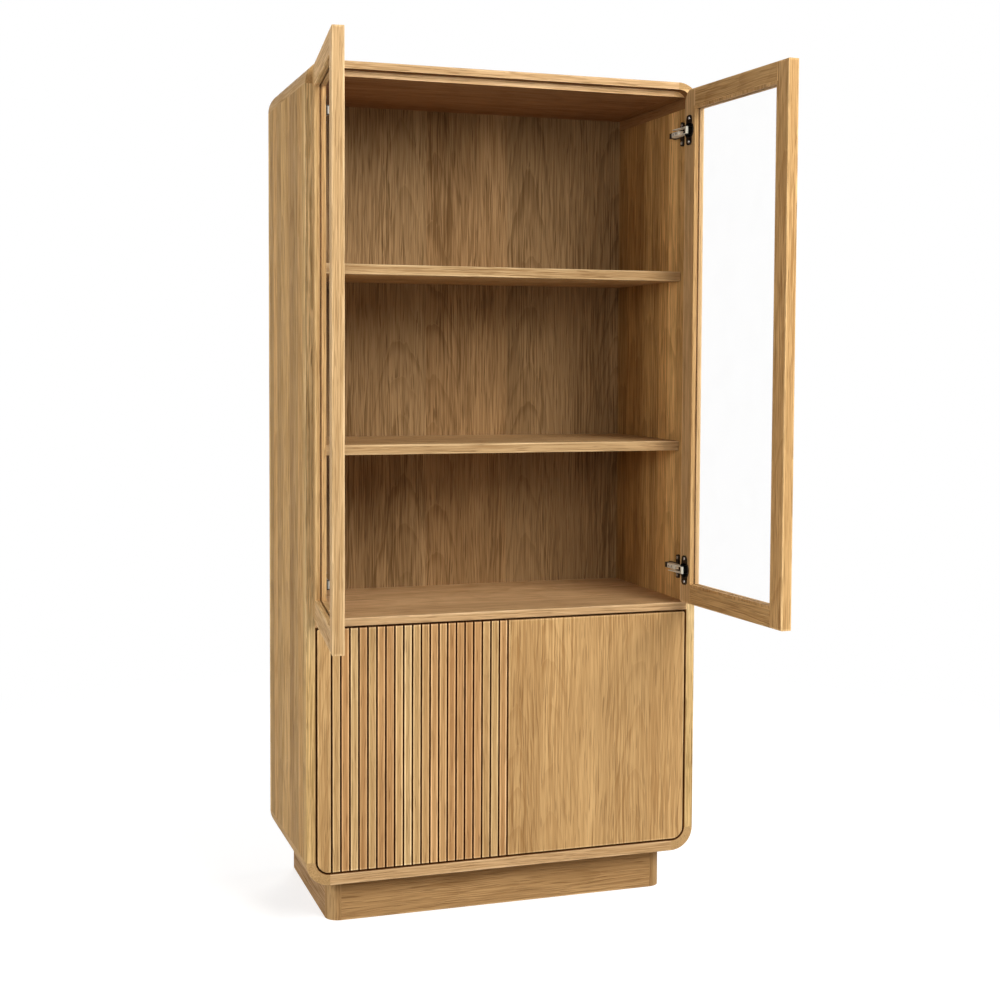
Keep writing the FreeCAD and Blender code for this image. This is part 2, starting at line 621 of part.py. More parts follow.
def mounting_plate(door, i, level):
    """A plate on the side panel: two wings with a screw each, a spine under the arm and the arm's clip."""
    wing = rounded(f"{door.name}_wing_{i}",
                   door.box(f"wing_bar_{i}", (sideFace, plateStart, f"{level} - wingSpan/2"),
                            ("wingThick", "wingWide", "wingSpan")), "wingRound", along_x)
    spine = door.box(f"spine_{i}", (sideFace, plateStart, f"{level} - plateHigh/2"),
                     ("plateThick", f"{armStart} + armLong + clipLong - {plateStart}", "plateHigh"))
    clip = door.box(f"clip_{i}", (plateTop, f"{armStart} + armLong", f"{level} - armHigh/2"),
                    ("clipThick", "clipLong", "armHigh"))
    holes = []
    for end in (-1, 1):
        y, z = f"({plateStart} + wingWide/2)", f"({level} + {end}*wingScrewPitch/2)"
        holes.append(door.rod(f"wing_hole_{i}{end + 1}", (f"{sideFace} - past", y, z), "plateScrew + holeGap",
                              "wingThick + 2*past", "x"))
        shank = door.rod(f"plate_shank_{i}{end + 1}", (f"{sideFace} - screwGrip", y, z), "plateScrew",
                         "screwGrip + wingThick + screwHeadHigh", "x")
        head = door.rod(f"plate_head_{i}{end + 1}", (f"{sideFace} + wingThick", y, z), "plateScrewHead",
                        "screwHeadHigh", "x")
        mountScrews.append(door.fixed(fuse(f"{door.name}_plate_screw_{i}{end + 1}", [shank, head])))
    plate = cut(f"{door.name}_plate_{i}", fuse(f"{door.name}_plate_bulk_{i}", [wing, spine, clip]),
                group(f"{door.name}_plate_cuts_{i}", holes))
    plates.append(door.fixed(plate))


def hinge_arm(door, i, level):
    """The arm on its plate, with two adjusting screws."""
    thick = f"({armTop} - {plateTop})"
    tip, outside = value(armStart), door.value(armTop)
    bar = door.box(f"arm_bar_{i}", (plateTop, armStart, f"{level} - armHigh/2"), (thick, "armLong", "armHigh"))
    arm = rounded(f"{door.name}_arm_rounded_{i}", bar, "armRound",
                  lambda edge, a, b: all_at(tip, a.y, b.y) or (all_at(a.z, b.z) and all_at(outside, a.x, b.x)))
    holes = []
    for name, reach in (("front", "adjusterFront"), ("rear", "adjusterRear")):
        start = (f"{armTop} - {thick}/2", f"({armStart} + {reach})", level)
        holes.append(door.rod(f"adjuster_hole_{i}_{name}", start, "woodScrew + holeGap", thick, "x"))
        shank = door.rod(f"adjuster_shank_{i}_{name}", start, "woodScrew", f"{thick}/2 + screwHeadHigh", "x")
        head = door.rod(f"adjuster_head_{i}_{name}", (armTop,) + start[1:], "adjuster", "screwHeadHigh", "x")
        mountScrews.append(door.fixed(fuse(f"{door.name}_adjuster_{i}_{name}", [shank, head])))
    arms.append(door.fixed(cut(f"{door.name}_arm_{i}", arm, group(f"{door.name}_arm_cuts_{i}", holes))))


def hinge_corners(door, bulk, label):
    """Round the two corners on the hinge side: a large round in the carcass, a small one at the divider."""
    large, small = (door.top, door.low) if door.row == "upper" else (door.low, door.top)
    edgeX = door.value(doorEdge)
    for name, level, radius in (("large", value(large), doorRound), ("small", value(small), doorSmallRound)):
        bulk = rounded(f"{door.name}_{label}_{name}_round", bulk, radius,
                       lambda edge, a, b: all_at(edgeX, a.x, b.x) and all_at(level, a.z, b.z))
    return bulk


def glass_door(door):
    """Two stiles and two rails, rebated from behind for the pane and the beads that hold it."""
    openWide, openHigh = f"({doorWidth} - 2*{stileWidth})", f"({door.high} - 2*railWidth)"
    openX, openZ = f"({doorEdge} + {stileWidth})", f"({door.low} + railWidth)"
    paneFace = f"({doorFace} + frameLip)"
    paneRoom = door.box("pane_room", (f"{openX} - glassRebate", paneFace, f"{openZ} - glassRebate"),
                        (f"{openWide} + 2*glassRebate", "doorThick", f"{openHigh} + 2*glassRebate"))
    faces = value(doorFace), value(doorInner)
    holes = cup_holes(door)

    def frame_piece(label, start, lengths, *joints):
        """A stile or rail, its arrises rounded on both faces but not where it meets its neighbour."""
        piece = cut(f"{door.name}_{label}_rebated", door.box(f"{label}_bar", start, lengths), paneRoom)
        if label == "hinge_stile":
            piece = hinge_corners(door, cut(f"{door.name}_{label}_drilled", piece, holes), label)
        levels = [door.value(joint) for joint in joints]

        def arris(edge, a, b):
            onFace = any(all_at(y, a.y, b.y) for y in faces)
            onJoint = any(all_at(x, a.x, b.x) for x in levels)
            isHole = edge.Curve.TypeId == "Part::GeomCircle" and edge.isClosed()
            return onFace and not onJoint and not isHole

        door.hung(rounded(f"{door.name}_{label}_rounded", piece, "arris", arris), label)

    stile, rail = (stileWidth, "doorThick", door.high), (openWide, "doorThick", "railWidth")
    frame_piece("hinge_stile", (doorEdge, doorFace, door.low), stile, f"{openX} - glassRebate")
    frame_piece("free_stile", (f"{openX} + {openWide}", doorFace, door.low), stile,
                f"{openX} + {openWide} + glassRebate")
    frame_piece("top_rail", (openX, doorFace, f"{door.top} - railWidth"), rail, openX, f"{openX} + {openWide}")
    frame_piece("bottom_rail", (openX, doorFace, door.low), rail, openX, f"{openX} + {openWide}")

    pane = door.box("pane",
                    (f"{openX} - glassRebate + glassGap", paneFace, f"{openZ} - glassRebate + glassGap"),
                    (f"{openWide} + 2*(glassRebate - glassGap)", "glassThick",
                     f"{openHigh} + 2*(glassRebate - glassGap)"))
    polished = rounded(f"{door.name}_pane_polished", pane, "glassArris", lambda edge, a, b: all_at(a.y, b.y))
    door.hung(polished, "glass")
    beadY = f"({paneFace} + glassThick)"
    upright = ("glassRebate", f"{doorInner} - {beadY}", f"{openHigh} + 2*glassRebate")
    lying = (openWide, f"{doorInner} - {beadY}", "glassRebate")
    beads = [
        door.box("bead_hinge", (f"{openX} - glassRebate", beadY, f"{openZ} - glassRebate"), upright),
        door.box("bead_free", (f"{openX} + {openWide}", beadY, f"{openZ} - glassRebate"), upright),
        door.box("bead_bottom", (openX, beadY, f"{openZ} - glassRebate"), lying),
        door.box("bead_top", (openX, beadY, f"{openZ} + {openHigh}"), lying),
    ]
    door.hung(group(f"{door.name}_bead_group", beads), "glass_beads")


doorFront = value(doorFace)


def front_edges(edge, a, b):
    return all_at(doorFront, a.y, b.y)


def plain_door(door):
    board = door.box("board", (doorEdge, doorFace, door.low), (doorWidth, "doorThick", door.high))
    panel = hinge_corners(door, cut(f"{door.name}_drilled", board, cup_holes(door)), "panel")
    door.hung(rounded(f"{door.name}_rounded", panel, "arris", front_edges), "panel")


def slatted_door(door):
    """A backing board with one plain stile on the hinge side and upright slats over the rest."""
    board = door.box("backing_board", (doorEdge, f"{doorFace} + slatThick", door.low),
                     (doorWidth, "doorThick - slatThick", door.high))
    door.hung(hinge_corners(door, cut(f"{door.name}_drilled", board, cup_holes(door)), "backing"), "backing")
    bar = door.box("stile_bar", (doorEdge, doorFace, door.low), ("slatStile", "slatThick", door.high))
    stile = rounded(f"{door.name}_stile_rounded", hinge_corners(door, bar, "stile"), "arris", front_edges)
    door.hung(stile, "stile")
    pitch = f"(({doorWidth} - slatStile)/slatCount)"
    slats = []
    for i in range(int(value("slatCount"))):
        start = f"{doorEdge} + slatStile + slatGroove + {i}*{pitch}"
        slat = door.box(f"slat_bar_{i}", (start, doorFace, door.low),
                        (f"{pitch} - slatGroove", "slatThick", door.high))
        slats.append(rounded(f"{door.name}_slat_{i}", slat, "slatArris", front_edges))
    door.hung(group(f"{door.name}_slat_group", slats), "slats")


doors = [
    (Door("left_glass_door", 1, "upper", "restLeft"), glass_door),
    (Door("right_glass_door", -1, "upper", "restRight"), glass_door),
    (Door("slatted_door", 1, "lower", "restLower"), slatted_door),
    (Door("plain_door", -1, "lower", "restLower"), plain_door),
]
for door, build in doors:
    build(door)
    hinge_cups(door)
    hinge_links(door)
    for i, level in enumerate(door.hinges):
        mounting_plate(door, i, level)
        hinge_arm(door, i, level)
node(group("plate_group", plates), "hinge_plates")
node(group("arm_group", arms), "hinge_arms")
node(group("mount_screw_group", mountScrews), "hinge_screws")

# ---- check and write ----
doc.recompute()
for thing in doc.Objects:
    if "Invalid" in thing.State or "Error" in thing.State:
        raise SystemExit(f"{thing.Name} failed: {thing.State}")
for piece in nodes:
    if piece.Shape.isNull() or not piece.Shape.isValid():
        raise SystemExit(f"{piece.Label} has no valid shape")
os.makedirs("parts", exist_ok=True)
for piece in nodes:
    piece.Shape.exportStep(f"parts/{piece.Label}.step")
    print(f"{piece.Label:34s} solids {len(piece.Shape.Solids):3d}  volume {piece.Shape.Volume / 1000:10.2f} cm3")
print(len(nodes), "nodes")
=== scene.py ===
import math

import bmesh
import bpy
from mathutils import Matrix, Vector


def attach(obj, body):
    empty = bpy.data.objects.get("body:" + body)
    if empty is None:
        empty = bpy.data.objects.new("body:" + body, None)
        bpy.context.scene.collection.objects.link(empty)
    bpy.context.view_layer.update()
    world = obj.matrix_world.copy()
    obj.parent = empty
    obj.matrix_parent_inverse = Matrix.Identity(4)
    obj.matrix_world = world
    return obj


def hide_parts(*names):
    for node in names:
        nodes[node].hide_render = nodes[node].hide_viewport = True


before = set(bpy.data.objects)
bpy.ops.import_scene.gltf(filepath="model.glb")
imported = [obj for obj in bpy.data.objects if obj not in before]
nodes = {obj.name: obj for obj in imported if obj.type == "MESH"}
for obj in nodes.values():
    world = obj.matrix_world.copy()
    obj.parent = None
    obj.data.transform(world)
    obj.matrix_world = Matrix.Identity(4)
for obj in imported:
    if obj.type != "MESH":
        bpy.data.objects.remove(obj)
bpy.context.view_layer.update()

scene = bpy.context.scene


# small helpers for node trees: an input that is a socket gets a link, any other gets a value
def setInput(tree, socket, value):
    if isinstance(value, bpy.types.NodeSocket):
        tree.links.new(value, socket)
    else:
        socket.default_value = value


def addNode(tree, kind, inputs=None, **settings):
    made = tree.nodes.new(kind)
    for key, value in settings.items():
        setattr(made, key, value)
    for key, value in (inputs or {}).items():
        setInput(tree, made.inputs[key], value)
    return made


def calc(tree, operation, *values):
    return addNode(tree, "ShaderNodeMath", dict(enumerate(values)), operation=operation).outputs[0]


def vectorCalc(tree, operation, *values):
    return addNode(tree, "ShaderNodeVectorMath", dict(enumerate(values)), operation=operation).outputs[0]


def split(tree, vector):
    return addNode(tree, "ShaderNodeSeparateXYZ", {0: vector}).outputs


def joined(tree, values):
    return addNode(tree, "ShaderNodeCombineXYZ", values).outputs[0]


def fade(tree, value, low, high, start=0.0, end=1.0):
    return addNode(tree, "ShaderNodeMapRange", {
        "Value": value, "From Min": low, "From Max": high, "To Min": start, "To Max": end,
    }, interpolation_type="SMOOTHSTEP").outputs[0]


def mixColour(tree, factor, first, second, blend="MIX"):
    made = addNode(tree, "ShaderNodeMix", data_type="RGBA", blend_type=blend)
    for index, value in ((0, factor), (6, first), (7, second)):
        setInput(tree, made.inputs[index], value)
    return made.outputs[2]


def tinted(tree, mask, colour, tint):
    return mixColour(tree, mask, colour, mixColour(tree, 1.0, colour, tint, "MULTIPLY"))


def noise(tree, vector, scale=1.0, detail=2.0, roughness=0.5):
    return addNode(tree, "ShaderNodeTexNoise", {
        "Vector": vector, "Scale": scale, "Detail": detail, "Roughness": roughness,
    }).outputs[0]


def newGroup(name, inputs, outputs, kind="ShaderNodeTree"):
    tree = bpy.data.node_groups.new(name, kind)
    for label, value in inputs.items():
        socket = tree.interface.new_socket(label, in_out="INPUT", socket_type="NodeSocket" + value[0])
        if len(value) > 1:
            socket.default_value = value[1]
    for label, socketKind in outputs.items():
        tree.interface.new_socket(label, in_out="OUTPUT", socket_type="NodeSocket" + socketKind)
    given = tree.nodes.new("NodeGroupInput").outputs
    result = tree.nodes.new("NodeGroupOutput").inputs
    return tree, given, result


def useGroup(tree, group, values):
    made = addNode(tree, "ShaderNodeGroup", node_tree=group)
    for label, value in values.items():
        setInput(tree, made.inputs[label], value)
    return made.outputs


def newMaterial(name):
    material = bpy.data.materials.new(name)
    material.use_nodes = True
    return material, material.node_tree, material.node_tree.nodes["Principled BSDF"]


def finish(obj, material):
    obj.data.materials.clear()
    obj.data.materials.append(material)


view = {
    "place": (-1.0997, -3.4603, 1.2177),
    "yaw": 18.391,  # degrees to the right of straight ahead
    "pitch": -3.0,
    "roll": 0.27,
    "lens": 56.55,
    "sensor": 36,
    "shift": -0.0578,
    "reach": 100,
}


def addCamera():
    yaw, pitch, roll = (math.radians(view[key]) for key in ("yaw", "pitch", "roll"))
    ahead = Vector((math.sin(yaw), math.cos(yaw), 0))
    right = Vector((math.cos(yaw), -math.sin(yaw), 0))
    up = Vector((0, 0, 1))
    ahead, up = ahead * math.cos(pitch) + up * math.sin(pitch), up * math.cos(pitch) - ahead * math.sin(pitch)
    right, up = right * math.cos(roll) + up * math.sin(roll), up * math.cos(roll) - right * math.sin(roll)
    data = bpy.data.cameras.new("camera")
    data.sensor_width = view["sensor"]
    data.lens = view["lens"]
    data.shift_y = view["shift"]
    data.clip_end = view["reach"]
    made = bpy.data.objects.new("camera", data)
    made.matrix_world = Matrix.Translation(view["place"]) @ Matrix((right, up, -ahead)).transposed().to_4x4()
    scene.collection.objects.link(made)
    scene.camera = made


addCamera()
print("camera placed")


# the figure of the oak; a noise is given as cycles per metre across and along the grain, then its detail
grain = {
    "luckStep": 1.37,
    "jump": (3.0, 3.0, 9.0),  # how far the pattern moves on from one stave to the next
    "pithLeast": 0.035,  # depth of the pith behind the face
    "pithMore": 0.09,
    "sway": (7, 1.6, 1.5),
    "swayBy": 0.018,
    "wobble": (36, 6, 2),
    "wobbleBy": 0.7,
    "lateWood": (0.6, 0.93),  # where in a year the dark line starts, and where it is full
    "yearEnd": (1.0, 0.95),
    "yearLuck": 0.6,
    "flat": (0.11, 0.03, 0.3, 1.0),  # the arches stand near the pith only
    "wander": (20, 4, 1),
    "wanderBy": 0.012,
    "tremble": (60, 16, 1),
    "trembleBy": 0.004,
    "broad": (55, 1.8, 2),
    "broadEdges": (0.25, 0.75),
    "broadBy": 0.4,
    "fine": (340, 6, 1),
    "fineEdges": (0.38, 0.62),
    "fineBy": 0.85,
    "pore": (380, 12, 1),
    "poreEdges": (0.56, 0.66),
    "poreYear": (0.8, 0.2, 0.45, 1.0),  # fewer pores late in the year
    "poreTint": (0.5, 0.44, 0.38, 1),
    "fibreRoughness": 0.65,
    "patches": (14, 2, 1.5),
    "patchEdges": (0.36, 0.64, 0.5, 1.25),
    "tone": (9, 1.0, 2),
    "toneBy": 1.0,
    "ringMean": 0.25,
    "joint": (0.0016, 0.0006, 0.0, 0.3),  # a faint pale line between two staves
    "rosy": -0.25,
    "relief": {"pore": -0.6, "fine": -0.45, "ring": -0.5},
    "rough": {"plain": 0.5, "fine": 0.15, "pore": 0.2},
}


def oakFigure():
    tree, given, result = newGroup("oak figure", {
        "Vector": ("Vector",),  # across the face, through the board, along the grain
        "Light": ("Color", (0.62, 0.39, 0.17, 1)),
        "Dark": ("Color", (0.42, 0.24, 0.09, 1)),
        "Stave": ("Float", 0.09),
        "Stave Tone": ("Float", 0.1),
        "Rings": ("Float", 0.4),
        "Ring Gap": ("Float", 0.006),
        "Taper": ("Float", 0.12),  # how much the stem thins per metre: sets how far apart the arches stand
        "Streaks": ("Float", 0.5),
        "Pores": ("Float", 0.5),
        "Seed": ("Float", 0.0),
    }, {"Color": "Color", "Height": "Float", "Roughness": "Float"})
    at = split(tree, given["Vector"])
    row = calc(tree, "FLOOR", calc(tree, "ADD", calc(tree, "DIVIDE", at[0], given["Stave"]), given["Seed"]))
    middle = calc(tree, "SUBTRACT", calc(tree, "ADD", row, 0.5), given["Seed"])
    across = calc(tree, "SUBTRACT", at[0], calc(tree, "MULTIPLY", middle, given["Stave"]))
    luck = addNode(tree, "ShaderNodeTexWhiteNoise", {
        "W": calc(tree, "MULTIPLY_ADD", row, grain["luckStep"], given["Seed"])}, noise_dimensions="1D")
    odds = addNode(tree, "ShaderNodeSeparateColor", {0: luck.outputs["Color"]}).outputs
    own = vectorCalc(tree, "ADD", given["Vector"],
                     vectorCalc(tree, "MULTIPLY", luck.outputs["Color"], grain["jump"]))

    def stretched(name, vector=own, roughness=0.5):
        sideways, along, detail = grain[name]
        return noise(tree, vectorCalc(tree, "MULTIPLY", vector, (sideways, sideways, along)),
                     detail=detail, roughness=roughness)

    def signed(value, amount):
        return calc(tree, "MULTIPLY", calc(tree, "SUBTRACT", value, 0.5), amount)

    # growth rings around a pith behind the face of each stave, with a sharp line where each year ends
    sideways = calc(tree, "SUBTRACT", across, signed(odds[0], given["Stave"]))
    pithDepth = calc(tree, "MULTIPLY_ADD", odds[1], grain["pithMore"], grain["pithLeast"])
    depthIn = calc(tree, "ADD", at[1], pithDepth)
    radius = calc(tree, "SQRT", calc(tree, "ADD", calc(tree, "MULTIPLY", sideways, sideways),
                                     calc(tree, "MULTIPLY", depthIn, depthIn)))
    cone = calc(tree, "MULTIPLY_ADD", at[2], given["Taper"], radius)
    swayed = calc(tree, "MULTIPLY_ADD", stretched("sway"), grain["swayBy"], cone)
    wobbleBy = calc(tree, "MULTIPLY", given["Ring Gap"], grain["wobbleBy"])
    wobbled = calc(tree, "MULTIPLY_ADD", stretched("wobble"), wobbleBy, swayed)
    years = calc(tree, "DIVIDE", wobbled, given["Ring Gap"])
    ring = calc(tree, "FRACT", years)
    year = addNode(tree, "ShaderNodeTexWhiteNoise", {"W": calc(tree, "FLOOR", years)}, noise_dimensions="1D")
    strength = calc(tree, "MULTIPLY_ADD", year.outputs["Value"], grain["yearLuck"], 1 - grain["yearLuck"])
    flat = fade(tree, calc(tree, "ABSOLUTE", sideways), *grain["flat"])
    lateWood = fade(tree, ring, *grain["lateWood"])
    for factor in (fade(tree, ring, *grain["yearEnd"]), strength, flat):
        lateWood = calc(tree, "MULTIPLY", lateWood, factor)

    # fibres that wander sideways a little as they run along the board
    tremble = calc(tree, "MULTIPLY", stretched("tremble"), grain["trembleBy"])
    wander = calc(tree, "MULTIPLY_ADD", stretched("wander"), grain["wanderBy"], tremble)
    bent = vectorCalc(tree, "ADD", own, joined(tree, {0: wander}))

    def fibres(name):
        return fade(tree, stretched(name, bent, grain["fibreRoughness"]), *grain[name + "Edges"])

    broad, fine = fibres("broad"), fibres("fine")
    pores = calc(tree, "MULTIPLY", fibres("pore"), fade(tree, ring, *grain["poreYear"]))

    depth = calc(tree, "MULTIPLY", calc(tree, "SUBTRACT", lateWood, grain["ringMean"]), given["Rings"])
    lines = calc(tree, "ADD", signed(broad, grain["broadBy"]), signed(fine, grain["fineBy"]))
    lines = calc(tree, "MULTIPLY", lines, fade(tree, stretched("patches"), *grain["patchEdges"]))
    depth = calc(tree, "ADD", depth, calc(tree, "MULTIPLY", lines, given["Streaks"]))
    depth = calc(tree, "ADD", depth, signed(stretched("tone"), grain["toneBy"]))
    colour = mixColour(tree, calc(tree, "ADD", depth, 0.5), given["Light"], given["Dark"])
    toJoint = calc(tree, "SUBTRACT", calc(tree, "MULTIPLY", given["Stave"], 0.5),
                   calc(tree, "ABSOLUTE", across))
    colour = mixColour(tree, fade(tree, toJoint, *grain["joint"]), colour, given["Light"])
    swing = calc(tree, "ADD", signed(odds[2], given["Stave Tone"]), 1.0)
    rosyBy = calc(tree, "MULTIPLY", given["Stave Tone"], grain["rosy"])
    rosy = calc(tree, "ADD", signed(odds[1], rosyBy), 1.0)
    tint = addNode(tree, "ShaderNodeCombineColor", {
        0: swing, 1: calc(tree, "MULTIPLY", swing, rosy),
        2: calc(tree, "MULTIPLY", swing, calc(tree, "MULTIPLY", rosy, rosy))}).outputs[0]
    colour = mixColour(tree, 1.0, colour, tint, "MULTIPLY")
    poreColour = mixColour(tree, 1.0, given["Dark"], grain["poreTint"], "MULTIPLY")
    colour = mixColour(tree, calc(tree, "MULTIPLY", pores, given["Pores"]), colour, poreColour)
    tree.links.new(colour, result["Color"])
    height = calc(tree, "ADD", calc(tree, "MULTIPLY", pores, grain["relief"]["pore"]),
                  calc(tree, "MULTIPLY", fine, grain["relief"]["fine"]))
    height = calc(tree, "ADD", height, calc(tree, "MULTIPLY", lateWood, grain["relief"]["ring"]))
    tree.links.new(height, result["Height"])
    rough = calc(tree, "MULTIPLY_ADD", fine, grain["rough"]["fine"], grain["rough"]["plain"])
    tree.links.new(calc(tree, "MULTIPLY_ADD", pores, grain["rough"]["pore"], rough), result["Roughness"])
    return tree


# edges rubbed pale and given a painted highlight, and painted shade on the faces in the gaps; a tint
# multiplies the colour of the wood
wearHighlightAndShade = {
    "width": 0.005,
    "full": 0.35,  # part of the width that is palest
    "arris": (0.99, 0.87),  # how square a face stands where it starts to be an arris, and where it is one
    "patches": (26.0, 3, 0.6),  # scale, detail and roughness of a noise
    "patchEdges": (0.3, 0.7, 0.65, 1.0),
    # the pale tint along the edges is partly wear and partly a painted highlight on the arrises
    "paler": (1.34, 1.46, 1.62, 1),
    "onSide": (0.6, 0.3),
    "reveal": (0.0006, 0.002),  # how far behind the front the painted shade starts, and is full
    "rim": (0.0013, 0.0006),  # the same from an edge inwards
    "deep": (0.015, 0.008),  # how far behind the front it ends, and is still full
    # tints of the painted shade in the gaps round the lower doors and in the grooves between their slats
    "gap": (0.2, 0.11, 0.05, 1),
    "groove": (0.14, 0.052, 0.016, 1),
    "relief": 0.0022,
    "bump": 0.5,
    "specular": 0.06,
}


def edgeWearHighlightAndShade():
    tree, given, result = newGroup("edge wear", {
        "Vector": ("Vector",), "Normal": ("Vector",),
        "Centre": ("Vector",), "Half": ("Vector",),  # the board's box, square to the axes
        "Width": ("Float", 0.0025),
        "Round": ("Float", 0.0),  # 1 where the piece bends about its depth
    }, {"Worn": "Float", "Gap": "Float"})
    steep = split(tree, vectorCalc(tree, "ABSOLUTE", vectorCalc(tree, "NORMALIZE", given["Normal"])))
    bend = calc(tree, "SQRT", calc(tree, "ADD", calc(tree, "MULTIPLY", steep[0], steep[0]),
                                   calc(tree, "MULTIPLY", steep[2], steep[2])))
    sides = addNode(tree, "ShaderNodeMix", {
        "Factor": given["Round"], "A": calc(tree, "MAXIMUM", steep[0], steep[2]), "B": bend}).outputs[0]
    arris = fade(tree, calc(tree, "MAXIMUM", sides, steep[1]), *wearHighlightAndShade["arris"])
    off = vectorCalc(tree, "SUBTRACT", given["Vector"], given["Centre"])
    toFace = split(tree, vectorCalc(tree, "SUBTRACT", given["Half"], vectorCalc(tree, "ABSOLUTE", off)))
    # of the three distances to the faces the middle one is how far the nearest edge is
    low, high = (calc(tree, which, toFace[0], toFace[1]) for which in ("MINIMUM", "MAXIMUM"))
    nearest = calc(tree, "MAXIMUM", low, calc(tree, "MINIMUM", high, toFace[2]))
    # a pale strip along the box's edges and arrises: partly wear, partly a painted highlight
    strip = fade(tree, nearest, given["Width"], calc(tree, "MULTIPLY", given["Width"], wearHighlightAndShade["full"]))
    patchy = fade(tree, noise(tree, given["Vector"], *wearHighlightAndShade["patches"]), *wearHighlightAndShade["patchEdges"])
    tree.links.new(calc(tree, "MULTIPLY", calc(tree, "MAXIMUM", arris, strip), patchy), result["Worn"])
    # painted shade: the sides of a lower door and of its slats are dark from just behind the front to some
    # depth
    inside = split(tree, vectorCalc(tree, "ADD", off, given["Half"]))[1]
    onSide = fade(tree, steep[1], *wearHighlightAndShade["onSide"])
    reveal = calc(tree, "MULTIPLY", fade(tree, inside, *wearHighlightAndShade["reveal"]), onSide)
    dark = calc(tree, "MAXIMUM", reveal, fade(tree, nearest, *wearHighlightAndShade["rim"]))
    tree.links.new(calc(tree, "MULTIPLY", dark, fade(tree, inside, *wearHighlightAndShade["deep"])), result["Gap"])
    return tree


# the opening that the lower doors close, where shade is painted
opening = {"Half Width": 0.429, "Low": 0.119, "High": 0.65, "Round": 0.03, "Behind": -0.203, "Spread": 0.0018}
openingEdge = {
    "full": 0.3,  # part of the spread where the dark is full
    "rear": 0.004,  # over how much depth it ends at the rear
}


def shadowGap():
    # painted shade in that opening, which follows its rounded lower corners
    tree, given, result = newGroup("shadow gap", {
        "Vector": ("Vector",), "Half Width": ("Float", 0.4), "Low": ("Float",), "High": ("Float", 1.0),
        "Round": ("Float", 0.03), "Behind": ("Float", 0.0), "Spread": ("Float", 0.001),
    }, {"Gap": "Float"})
    at = split(tree, given["Vector"])
    beyondX = calc(tree, "SUBTRACT", calc(tree, "ADD", calc(tree, "ABSOLUTE", at[0]), given["Round"]),
                   given["Half Width"])
    beyondZ = calc(tree, "SUBTRACT", calc(tree, "ADD", given["Low"], given["Round"]), at[2])
    outside = [calc(tree, "MAXIMUM", beyond, 0.0) for beyond in (beyondX, beyondZ)]
    reach = calc(tree, "SQRT", calc(tree, "ADD", calc(tree, "MULTIPLY", outside[0], outside[0]),
                                    calc(tree, "MULTIPLY", outside[1], outside[1])))
    full = calc(tree, "MULTIPLY", given["Spread"], openingEdge["full"])
    around = fade(tree, calc(tree, "SUBTRACT", reach, given["Round"]), given["Spread"], full)
    under = fade(tree, calc(tree, "SUBTRACT", at[2], given["High"]), given["Spread"], full)
    ahead = fade(tree, calc(tree, "SUBTRACT", at[1], given["Behind"]), openingEdge["rear"], 0.0)
    tree.links.new(calc(tree, "MULTIPLY", calc(tree, "MULTIPLY", around, under), ahead), result["Gap"])
    return tree


oakTree = oakFigure()
edgeWearHighlightAndShadeTree = edgeWearHighlightAndShade()
gapTree = shadowGap()

# colours are linear
oakKinds = {
    "frame": {"light": (0.74, 0.475, 0.24), "dark": (0.46, 0.26, 0.105), "stave": 0.11, "staveTone": 0.1,
              "rings": 0.3, "ringGap": 0.008, "taper": 0.06, "streaks": 0.55, "pores": 0.5},
    "door": {"light": (0.72, 0.445, 0.19), "dark": (0.41, 0.22, 0.078), "stave": 0.13, "staveTone": 0.1,
             "rings": 0.3, "ringGap": 0.0055, "taper": 0.05, "streaks": 0.66, "pores": 0.5},
    # a paler copy of the door oak for two stiles: painted light
    "stile": {"light": (0.78, 0.505, 0.245), "dark": (0.49, 0.285, 0.115), "stave": 0.13, "staveTone": 0.06,
              "rings": 0.2, "ringGap": 0.0055, "taper": 0.05, "streaks": 0.55, "pores": 0.4},
    "slat": {"light": (0.72, 0.445, 0.19), "dark": (0.41, 0.22, 0.078), "stave": 0.4, "staveTone": 0.0,
             "rings": 0.15, "ringGap": 0.0055, "taper": 0.05, "streaks": 0.35, "pores": 0.5},
    "inside": {"light": (0.64, 0.41, 0.195), "dark": (0.36, 0.2, 0.078), "stave": 0.12, "staveTone": 0.14,
               "rings": 0.4, "ringGap": 0.008, "taper": 0.06, "streaks": 0.6, "pores": 0.5},
    "back": {"light": (0.405, 0.248, 0.111), "dark": (0.176, 0.096, 0.036), "stave": 0.205, "staveTone": 0.2,
             "rings": 0.38, "ringGap": 0.0045, "taper": 0.035, "streaks": 0.8, "pores": 0.6},
    "side": {"light": (0.64, 0.385, 0.147), "dark": (0.33, 0.182, 0.06), "stave": 0.048, "staveTone": 0.34,
             "rings": 0.4, "ringGap": 0.007, "taper": 0.03, "streaks": 0.9, "pores": 0.6},
    "plinth": {"light": (0.55, 0.325, 0.135), "dark": (0.29, 0.15, 0.053), "stave": 0.2, "staveTone": 0.08,
               "rings": 0.2, "ringGap": 0.006, "taper": 0.04, "streaks": 0.6, "pores": 0.5},
    "corner": {"light": (0.67, 0.42, 0.185), "dark": (0.42, 0.24, 0.09), "stave": 2.0, "staveTone": 0.0,
               "rings": 0.12, "ringGap": 0.008, "taper": 0.06, "streaks": 0.4, "pores": 0.4},
    "softwood": {"light": (0.72, 0.52, 0.28), "dark": (0.55, 0.35, 0.16), "stave": 0.3, "staveTone": 0.05,
                 "rings": 0.7, "ringGap": 0.006, "taper": 0.06, "streaks": 0.2, "pores": 0.05},
}
doorTurns = {"left_glass_door": -97.0, "right_glass_door": 93.8}  # how they stand at rest, in degrees

